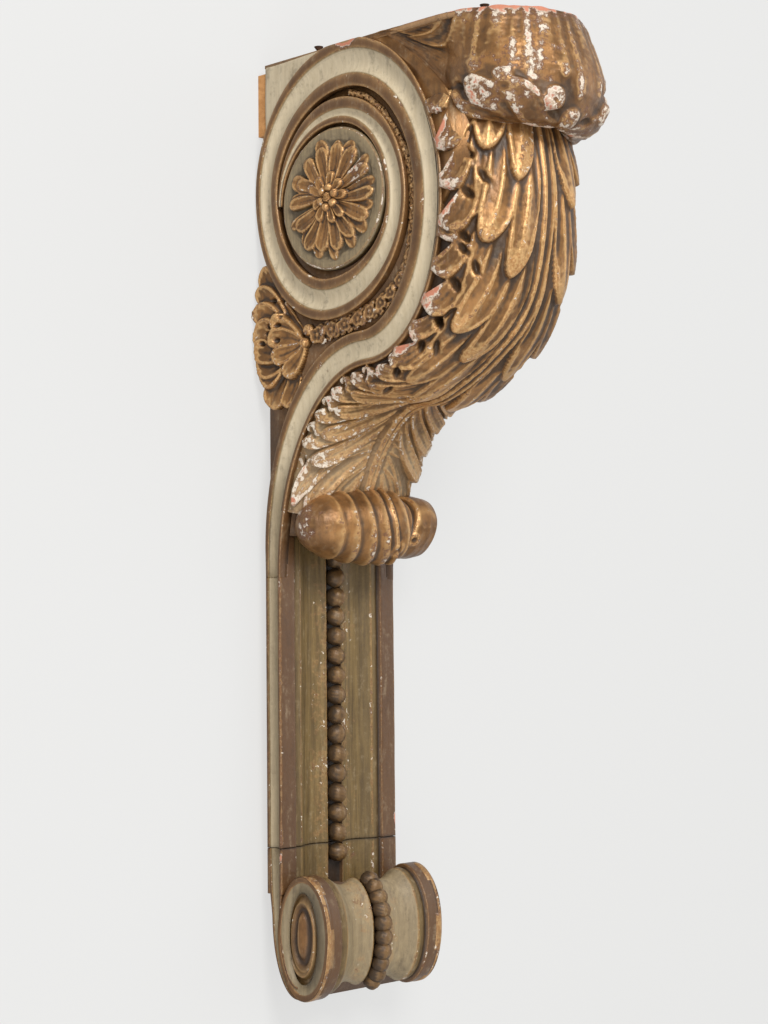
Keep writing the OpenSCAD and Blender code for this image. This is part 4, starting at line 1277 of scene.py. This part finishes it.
# %% Rosette
def rosette_piece(side):
    """A round boss as rings and spokes, with two layers of petals, a small inner flower and berries."""
    draw = np.random.default_rng(40 + side)
    rings, spokes = 118, 300
    r = np.linspace(0.4, BOSS_R, rings)
    angle = np.linspace(0, 2 * math.pi, spokes, endpoint=False)
    a = r[:, None] * np.cos(angle)[None, :]
    b = r[:, None] * np.sin(angle)[None, :]
    relief = Relief(a, b)
    relief.window = lambda p, q, margin: (slice(0, rings), slice(0, spokes))
    ground = np.interp(r, (0, 50, 56, 60, 62, 66, BOSS_R), (-1.5, -0.6, 1.0, 1.4, 1.6, 1.2, -0.6))
    relief.h = ground[:, None] + 0 * a
    for layer, count, reach, shift in ((0, 15, 57, 0.4), (1, 14, 53, 0.0)):
        for k in range(count):
            turn = 2 * math.pi * (k + shift + draw.uniform(-0.1, 0.1)) / count
            far = reach + draw.uniform(-4, 3)
            way = np.array([math.cos(turn), math.sin(turn)])
            relief.lobe([(tuple(way * 5), tuple(way * far), 7.0 + draw.uniform(-1.2, 1.6), 5 + layer * 1.5,
                          4.0 + layer * 2.0, draw.uniform(-3.5, 3.5), 3.0, 0.8)], 1.2)
    for k in range(9):
        turn = 2 * math.pi * (k + draw.uniform(-0.2, 0.2)) / 9
        way = np.array([math.cos(turn), math.sin(turn)])
        tip = tuple(way * draw.uniform(21, 31))
        relief.lobe([(tuple(way * 4), tip, 4.4, 8, 9.0, draw.uniform(-2, 2), 2.2, 0.76)], 1.0)
    for k in range(6):
        turn = 2 * math.pi * k / 6 + 0.3
        relief.knob((9.2 * math.cos(turn), 9.2 * math.sin(turn)), 5.0, 9.5, 1.0)
    relief.knob((0, 0), 5.4, 12.0, 1.0)
    rough = smooth(draw.normal(0, 1, a.shape), (1.4, 1.4), True)
    height = smooth(relief.h, (0.5, 0.6), True) + rough * 0.45
    flower = relief.seen
    points = np.stack([(77.4 + height) * side, BOSS_CENTRE[0] + a * side, BOSS_CENTRE[1] + b], -1)
    rim = points[-1].copy()
    rim[:, 0] = side * (GROUND_X - 1.0)
    points = np.concatenate([points, rim[None]])
    between_petals = (flower < 0.4) * np.clip(1 - np.abs(r[:, None] - 52) / 12, 0, 1)
    ridge = ridges(height, 2.0, True) - 0.35 * between_petals
    edge = np.exp(-((r - 66.2) / 1.4) ** 2)[:, None] * np.ones_like(a)
    lost = 0.4 * np.exp(-((a * side + 34) / 15) ** 2 - ((b - 18) / 24) ** 2)
    last = np.zeros((1, spokes))
    masks = dict(gilt=np.concatenate([0.9 * flower, last]),
                 ridge=np.concatenate([ridge + edge * 0.7, last - 0.8]),
                 pale=np.concatenate([0.66 * (1 - flower), last]),
                 bare=np.concatenate([0.35 * edge + 0.12 * flower + lost, last]))
    shell = Shell()
    faces = grid_faces(rings + 1, spokes, wrap=True)
    caps = [list(range(spokes))[::-1], [rings * spokes + k for k in range(spokes)]]
    add_closed(shell, points, faces, caps, masks, False)
    return shell


rosettes = {side: rosette_piece(side) for side in (-1, 1)}
print("rosettes", [shell.count for shell in rosettes.values()], "points")

# %% [markdown]
# ## Foot scroll
# The foot is a separate block glued on below the joint. It repeats the shaft's mouldings round an oval
# roll, and its sides are carved as a small scroll: a rim, a hollow, a ridge that winds in, and a long
# eye.

# %% Foot
FOOT_CENTRE = np.array([-48.0, 61.0])
FOOT_SEMI = np.array([34.0, 58.0])


def foot_roll(shell):
    """The moulded front of the oval, all the way round."""
    section = full_section()
    front = section[section[:, 1] < -0.2]
    front = front[np.abs(front[:, 0]) < 79.5]
    turns = 150
    angle = np.linspace(0, 2 * math.pi, turns, endpoint=False)
    sunk = 20.5 + front[:, 1]
    keep = (front[:, 1] < -19.3) | (np.abs(front[:, 0]) < 78.0)
    x, depth = front[keep, 0], np.maximum(sunk[keep], 0)
    order = np.argsort(-x)
    x, depth, pale, ridge = x[order], depth[order], front[keep, 2][order], front[keep, 3][order]
    x, depth = np.r_[70, x, -70], np.r_[3, depth, 3]
    pale, ridge = np.r_[0, pale, 0], np.r_[-1, ridge * np.where(np.abs(x[1:-1]) > 70, 0.35, 1), -1]
    bend = 1 + 0.006 * np.sin(angle * 5 + 1)[:, None]
    semi_y = (FOOT_SEMI[0] - depth)[None, :] * bend
    semi_z = (FOOT_SEMI[1] - depth)[None, :] * bend
    y = FOOT_CENTRE[0] + semi_y * np.cos(angle)[:, None]
    z = FOOT_CENTRE[1] + semi_z * np.sin(angle)[:, None]
    points = np.stack([np.broadcast_to(x[None, :], y.shape), y, z], -1)
    lost = np.exp(-(((angle - math.radians(251)) / 0.10) ** 2))[:, None] * np.exp(-(x[None, :] / 9) ** 2)
    under = np.clip((-np.sin(angle) - 0.86) / 0.14, 0, 1)[:, None]
    bare = np.clip(lost * 1.2 + (0.06 + under * 0.35) * np.clip(ridge, 0, 1)[None, :], 0, 1)
    pale = np.where(pale > 0.44, 0.68, pale)
    masks = dict(pale=pale[None, :] + 0 * y, ridge=ridge[None, :] + 0 * y, bare=bare)
    masks = {name: value.T for name, value in masks.items()}
    ends = [list(range(turns)), [(len(x) - 1) * turns + k for k in range(turns)][::-1]]
    add_closed(shell, points.transpose(1, 0, 2), grid_faces(len(x), turns, wrap=True), ends, masks, False)


def foot_side(shell, side):
    """The carved oval side, as rings from the rim to the eye."""
    rings, spokes = 74, 200
    angle = np.linspace(0, 2 * math.pi, spokes, endpoint=False)[None, :]
    t = np.linspace(0, 1, rings)[:, None]
    eye = np.array([-43.5, 64.0])
    centre = FOOT_CENTRE * (1 - t)[..., None] + eye * t[..., None]
    semi_y, semi_z = FOOT_SEMI[0] * (1 - t) + 0.4 * t, FOOT_SEMI[1] * (1 - t) + 12.0 * t
    y = centre[..., 0] + semi_y * np.cos(angle)
    z = centre[..., 1] + semi_z * np.sin(angle)
    depth = np.interp(t, (0, 0.012, 0.03, 0.1, 0.13, 0.16, 0.26, 0.4, 0.52, 0.57, 0.62, 0.7, 0.77, 0.84,
                          0.92, 1),
                      (1.4, 0.4, 0, 0.3, 1.2, 2.8, 5.0, 5.4, 3.2, 2.0, 2.6, 5.6, 5.4, 2.6, 0.9, 0.3))
    # The ridge inside the hollow winds in: it stands at a smaller radius the further it has turned
    phase = ((angle * (1 if side < 0 else 1) - math.radians(100)) % (2 * math.pi)) / (2 * math.pi)
    ridge_at = 0.56 - 0.2 * phase
    fading = np.clip(phase * 4, 0, 1) * np.clip((1 - phase) * 6, 0, 1)
    winding = np.exp(-((t - ridge_at) / 0.035) ** 2) * 3.2 * fading
    depth = np.maximum(depth - winding, 0) + 0.2 * np.sin(angle * 3)
    x = side * (HALF_W - 0.3 - depth)
    points = np.stack([np.broadcast_to(x, y.shape), y, z], -1)
    zone = np.interp(t, (0, 0.17, 0.22, 0.46, 0.52, 0.66, 0.72, 1), (0, 0.1, 0.34, 0.3, 0.26, 0.2, 0, 0))
    gilt = np.interp(t, (0, 0.1, 0.2, 0.62, 0.7, 1), (0.3, 0.25, 0.1, 0.2, 0.5, 0.6))
    ridge = np.interp(t, (0, 0.02, 0.05, 0.1, 0.13, 0.18, 0.3, 0.46, 0.57, 0.63, 0.7, 0.78, 0.86, 1),
                      (0.9, 0.8, 0, 0.3, 0.8, -0.6, -0.2, -0.1, 0.8, -0.2, -1.0, -0.6, 0.4, 0.5))
    ridge = ridge - 0.5 * np.clip(np.cos(angle) * -1.0, 0, 1) * np.clip(t * 3 - 1.6, 0, 1)
    ridge = ridge + np.clip(winding / 3.2, 0, 1) * 0.8
    ridge = np.clip(ridge, -1, 1)
    points = np.concatenate([points[:1] * [0, 1, 1] + [side * 70, 0, 0], points])
    masks = dict(pale=zone + 0 * y, gilt=gilt + 0 * y, ridge=ridge + 0 * y, bare=0.12 + 0 * y)
    masks = {name: np.concatenate([value[:1], value]) for name, value in masks.items()}
    ends = [list(range(spokes))[::-1], [rings * spokes + k for k in range(spokes)]]
    add_closed(shell, points, grid_faces(rings + 1, spokes, wrap=True), ends, masks, side > 0)


def foot_back(shell):
    """The part of the block behind the oval, with a narrow hollow down its side."""
    outer = np.concatenate([[(-0.4, JOINT_Z - 0.3), (-2, 110)],
                            quarter((-6, 80), (-40, 4), True, 24), [(-40, 4)]])
    inner = np.concatenate([[(-19.5, JOINT_Z - 0.3), (-19.8, 112)],
                            quarter((-17, 80), (-40, 16), True, 24), [(-40, 16)]])
    lines = [outer, outer * 0.78 + inner * 0.22, outer * 0.16 + inner * 0.84, inner]
    for side in (-1, 1):
        rising = [line[::-1] for line in lines]
        points, faces, caps, masks, flip = band_strip(rising, 3.6, side, full=HALF_W - 0.6)
        masks["pale"] = masks["pale"] * 0.7
        add_closed(shell, points, faces, caps, masks, flip)
    edge = np.concatenate([outer, [(-52, 30), (-50, 98), (-7, 104)], [(-7, JOINT_Z - 0.3)]]) - [0.6, 0]
    prism(shell, edge[::-1], -GROUND_X, GROUND_X, ridge=-0.3)
    section = full_section()
    heights = np.r_[np.linspace(100, JOINT_Z - 2, 30), JOINT_Z - 1.0, JOINT_Z - 0.3]
    arris = np.exp(-((section[:, 0] + 79) / 2.5) ** 2 - ((section[:, 1] + 19) / 3.5) ** 2)
    chip = np.exp(-((heights - JOINT_Z + 9) / 5.5) ** 4)[:, None] * arris[None, :]
    squeeze = np.where(heights > JOINT_Z - 1.5, 78.2, 78.7)
    moulded_run(shell, heights, section, squeeze, chip * 0.78)


foot = Shell()
foot_roll(foot)
for side in (-1, 1):
    foot_side(foot, side)
foot_back(foot)
print("foot", foot.count, "points")

# %% [markdown]
# ## Bead strings
# A string of beads is carved in the channel, each bead a little different. A geometry node tree puts a
# ball on each point of a line, with a random turn and size; the points come from the pitch on the shaft
# and from equal steps round the oval.

# %% Beads
BEAD_PITCH = 19.1
SHAFT_BEAD_R, FOOT_BEAD_R = 9.5, 9.0


def bead_tree():
    """Balls of one radius on the points of a mesh, with sizes that vary."""
    tree = bpy.data.node_groups.new("beads_on_points", "GeometryNodeTree")
    face = tree.interface
    face.new_socket("Geometry", in_out="INPUT", socket_type="NodeSocketGeometry")
    for name, value in (("Radius", 0.008), ("Variation", 0.08)):
        face.new_socket(name, in_out="INPUT", socket_type="NodeSocketFloat").default_value = value
    face.new_socket("Material", in_out="INPUT", socket_type="NodeSocketMaterial")
    face.new_socket("Geometry", in_out="OUTPUT", socket_type="NodeSocketGeometry")
    nodes, links = tree.nodes, tree.links
    start, end = nodes.new("NodeGroupInput"), nodes.new("NodeGroupOutput")
    ball = nodes.new("GeometryNodeMeshUVSphere")
    ball.inputs["Segments"].default_value = 24
    ball.inputs["Rings"].default_value = 14
    links.new(start.outputs["Radius"], ball.inputs["Radius"])
    place = nodes.new("GeometryNodeInstanceOnPoints")
    links.new(start.outputs[0], place.inputs["Points"])
    links.new(ball.outputs["Mesh"], place.inputs["Instance"])
    size = nodes.new("FunctionNodeRandomValue")
    size.data_type = "FLOAT_VECTOR"
    size.inputs["Seed"].default_value = 3
    low, high = nodes.new("ShaderNodeMath"), nodes.new("ShaderNodeMath")
    low.operation, high.operation = "SUBTRACT", "ADD"
    for node in (low, high):
        node.inputs[0].default_value = 1.0
        links.new(start.outputs["Variation"], node.inputs[1])
    links.new(low.outputs[0], size.inputs[0])
    links.new(high.outputs[0], size.inputs[1])
    links.new(size.outputs[0], place.inputs["Scale"])
    turn = nodes.new("FunctionNodeRandomValue")
    turn.data_type = "FLOAT_VECTOR"
    turn.inputs[0].default_value = (-0.5, -0.5, -0.5)
    turn.inputs[1].default_value = (0.5, 0.5, 0.5)
    turn.inputs["Seed"].default_value = 9
    links.new(turn.outputs[0], place.inputs["Rotation"])
    real, paint, even = (nodes.new(k) for k in ("GeometryNodeRealizeInstances", "GeometryNodeSetMaterial",
                                                 "GeometryNodeSetShadeSmooth"))
    links.new(place.outputs[0], real.inputs[0])
    links.new(real.outputs[0], even.inputs[0])
    links.new(even.outputs[0], paint.inputs[0])
    links.new(start.outputs["Material"], paint.inputs["Material"])
    links.new(paint.outputs[0], end.inputs[0])
    return tree


def bead_string(name, centres, radius, tree):
    """Runs the tree on a line of points, then gives the beads lumps, masks with painted light, and the
    finish.
    """
    seeds = bpy.data.meshes.new(name + "_points")
    seeds.from_pydata(to_frame(centres).tolist(), [], [])
    holder = bpy.data.objects.new(name + "_points", seeds)
    bpy.context.collection.objects.link(holder)
    modifier = holder.modifiers.new("beads", "NODES")
    modifier.node_group = tree
    named = {item.name: item.identifier for item in tree.interface.items_tree if item.in_out == "INPUT"}
    modifier[named["Radius"]] = radius * MM
    modifier[named["Variation"]] = 0.07
    modifier[named["Material"]] = FINISH
    ready = holder.evaluated_get(bpy.context.evaluated_depsgraph_get())
    mesh = bpy.data.meshes.new_from_object(ready)
    mesh.name = name
    where = np.array([v.co for v in mesh.vertices]).reshape(len(centres), -1, 3)
    away = (where - where.mean(1, keepdims=True)) / (radius * MM)
    noise = np.sin(away[..., 0] * 7 + where[..., 2] * 900) * np.sin(away[..., 2] * 6 + where[..., 2] * 410)
    # Painted light: each bead's front gets a high ridge value and its sides a low one, so fronts come out
    # lighter and sides darker
    facing_light = np.clip(-away[..., 1] - 0.35, -0.9, 0.5) + 0.35 * noise
    part = np.random.default_rng(5).uniform(-0.12, 0.2, (len(centres), 1))
    for mask, value in (("gilt", 0.2 + 0 * facing_light), ("pale", 0.25 + 0 * facing_light),
                        ("ridge", facing_light * 1.9 - 0.95 + part), ("bare", 0.1 + part * 0.8 + 0 * facing_light)):
        layer = mesh.attributes.new(mask, "FLOAT", "POINT")
        layer.data.foreach_set("value", value.ravel().astype(np.float32))
    bumps = where + away * (radius * MM) * (0.045 * noise)[..., None]
    mesh.vertices.foreach_set("co", bumps.ravel())
    mesh.update()
    bpy.data.objects.remove(holder)
    obj = bpy.data.objects.new(name, mesh)
    bpy.context.collection.objects.link(obj)
    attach(obj, "root")
    print(f"{name}: {len(centres)} beads, {len(mesh.polygons)} faces")
    return obj


beads = bead_tree()
print("bead tree", len(beads.nodes), "nodes")

# %% [markdown]
# ## Putting the pieces together
# Each shell becomes one object with the finish, rides on the bracket's body and stands for its packed
# node.

# %% Make the pieces
pieces = {
    "console_body": (body, "painted_wood", "console"),
    "front_leaf": (front_leaf, "gilt_wood", "console"),
    "top_curl": (top_curl, "gilt_wood", "console"),
    "leaf_roll": (leaf_roll, "gilt_wood", "console"),
    "side_foliage_left": (foliage[-1], "gilt_wood", "console"),
    "side_foliage_right": (foliage[1], "gilt_wood", "console"),
    "rosette_left_carved": (rosettes[-1], "gilt_wood", "rosette_left"),
    "rosette_right_carved": (rosettes[1], "gilt_wood", "rosette_right"),
    "foot_scroll_carved": (foot, "painted_wood", "foot_scroll"),
}
for name, (shell, slot, node) in pieces.items():
    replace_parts(shell.make(name, FINISH, slot=slot), node)

shaft_beads = [(0, -16.2, JOINT_Z + SHAFT_BEAD_R + BEAD_PITCH * k) for k in range(-1, 15)]
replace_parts(bead_string("shaft_beads", shaft_beads, SHAFT_BEAD_R, beads), "console")
foot_turns = np.radians(np.linspace(112, 242, 10))
foot_ring = FOOT_CENTRE + np.stack([29.5 * np.cos(foot_turns), 52.5 * np.sin(foot_turns)], 1)
foot_beads = side_points(0.0, foot_ring)
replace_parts(bead_string("foot_beads", foot_beads, FOOT_BEAD_R, beads), "foot_scroll")
for node, material in (("back_batten", RAW), ("nail_rear", IRON), ("nail_front", IRON)):
    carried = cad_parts[node]
    carried.data.materials.clear()
    carried.data.materials.append(material)


# %% [markdown]
# ## Room, light and camera
# The bracket hangs on a pale wall in soft daylight that comes from the front, a little from the left and
# above, and leaves hardly any shadow. The wall is seen from the front alone and lets light through, so
# the back of the bracket can be looked at too. A broad lamp like a window, two weaker ones from the right
# and from below, and a bright sky round everything keep the light level.

# %% Stage
def one_way(name, colour, glow):
    """A surface that only the camera sees, from its front side, and partly as plain light."""
    g = Graph(name)
    matt = g.node("ShaderNodeBsdfDiffuse", (), {"Color": colour})
    plain = g.node("ShaderNodeEmission", (), {"Color": colour})
    camera = Value(g, g.node("ShaderNodeLightPath").outputs["Is Camera Ray"])
    shader = g.node("ShaderNodeMixShader", (), {0: camera * glow})
    g.tree.links.new(matt.outputs[0], shader.inputs[1])
    g.tree.links.new(plain.outputs[0], shader.inputs[2])
    clear = g.node("ShaderNodeBsdfTransparent")
    back = Value(g, g.node("ShaderNodeNewGeometry").outputs["Backfacing"])
    mixed = g.node("ShaderNodeMixShader", (), {0: (back + (1 - camera)).between(0.0, 1.0)})
    g.tree.links.new(shader.outputs[0], mixed.inputs[1])
    g.tree.links.new(clear.outputs[0], mixed.inputs[2])
    out = g.node("ShaderNodeOutputMaterial")
    g.tree.links.new(mixed.outputs[0], out.inputs[0])
    return g.material


def pale_wall(y, reach):
    """A square wall just behind the bracket."""
    mesh = bpy.data.meshes.new("wall")
    corners = [(x * reach, y, z * reach) for x, z in ((-1, -1), (1, -1), (1, 1), (-1, 1))]
    mesh.from_pydata(corners, [], [(0, 1, 2, 3)])
    mesh.materials.append(one_way("pale_wall", rgb(231, 231, 230), 0.78))
    obj = bpy.data.objects.new("wall", mesh)
    bpy.context.collection.objects.link(obj)


def area_lamp(name, place, target, size, power, colour):
    lamp = bpy.data.lights.new(name, "AREA")
    lamp.shape = "DISK"
    lamp.size, lamp.energy, lamp.color = size, power, colour
    obj = bpy.data.objects.new(name, lamp)
    obj.location = place
    obj.rotation_euler = (Vector(target) - Vector(place)).to_track_quat("-Z", "Y").to_euler()
    bpy.context.collection.objects.link(obj)


MIDDLE = (0.0, -0.15, -0.4)
pale_wall(0.0004, 6.0)
area_lamp("window", (-1.2, -2.7, 1.3), MIDDLE, 1.5, 74.0, (1.0, 0.985, 0.96))
area_lamp("fill", (2.6, -1.8, 0.3), MIDDLE, 2.6, 12.0, (0.97, 0.985, 1.0))
area_lamp("bounce", (-1.5, -1.9, -2.0), MIDDLE, 2.4, 16.0, (1.0, 0.99, 0.97))
world = bpy.data.worlds.new("sky")
world.use_nodes = True
world.node_tree.nodes["Background"].inputs[0].default_value = (1.0, 1.0, 1.0, 1.0)
world.node_tree.nodes["Background"].inputs[1].default_value = 0.6
bpy.context.scene.world = world
bpy.context.scene.view_settings.view_transform = "Standard"
print("stage", [lamp.name for lamp in bpy.data.lights])

# %% [markdown]
# The camera stands low to the left at about 46 degrees, two metres off, and looks slightly up.

# %% Camera
CAMERA_AT = Vector((-1.3829, -1.4207, -0.5143))
YAW, PITCH, ROLL = (math.radians(a) for a in (46.22, 3.412, -0.544))
toward = Vector((math.sin(YAW) * math.cos(PITCH), math.cos(YAW) * math.cos(PITCH), math.sin(PITCH)))
level = Vector((math.cos(YAW), -math.sin(YAW), 0))
right = level * math.cos(ROLL) + level.cross(toward) * math.sin(ROLL)
up = right.cross(toward)
camera = bpy.data.cameras.new("camera")
camera.sensor_width = 36.0
camera.lens = 70.1
camera_obj = bpy.data.objects.new("camera", camera)
axes = Matrix([right, up, -toward]).transposed().to_4x4()
camera_obj.matrix_world = Matrix.Translation(CAMERA_AT) @ axes
bpy.context.collection.objects.link(camera_obj)
bpy.context.scene.camera = camera_obj
print("camera", tuple(round(v, 3) for v in CAMERA_AT))
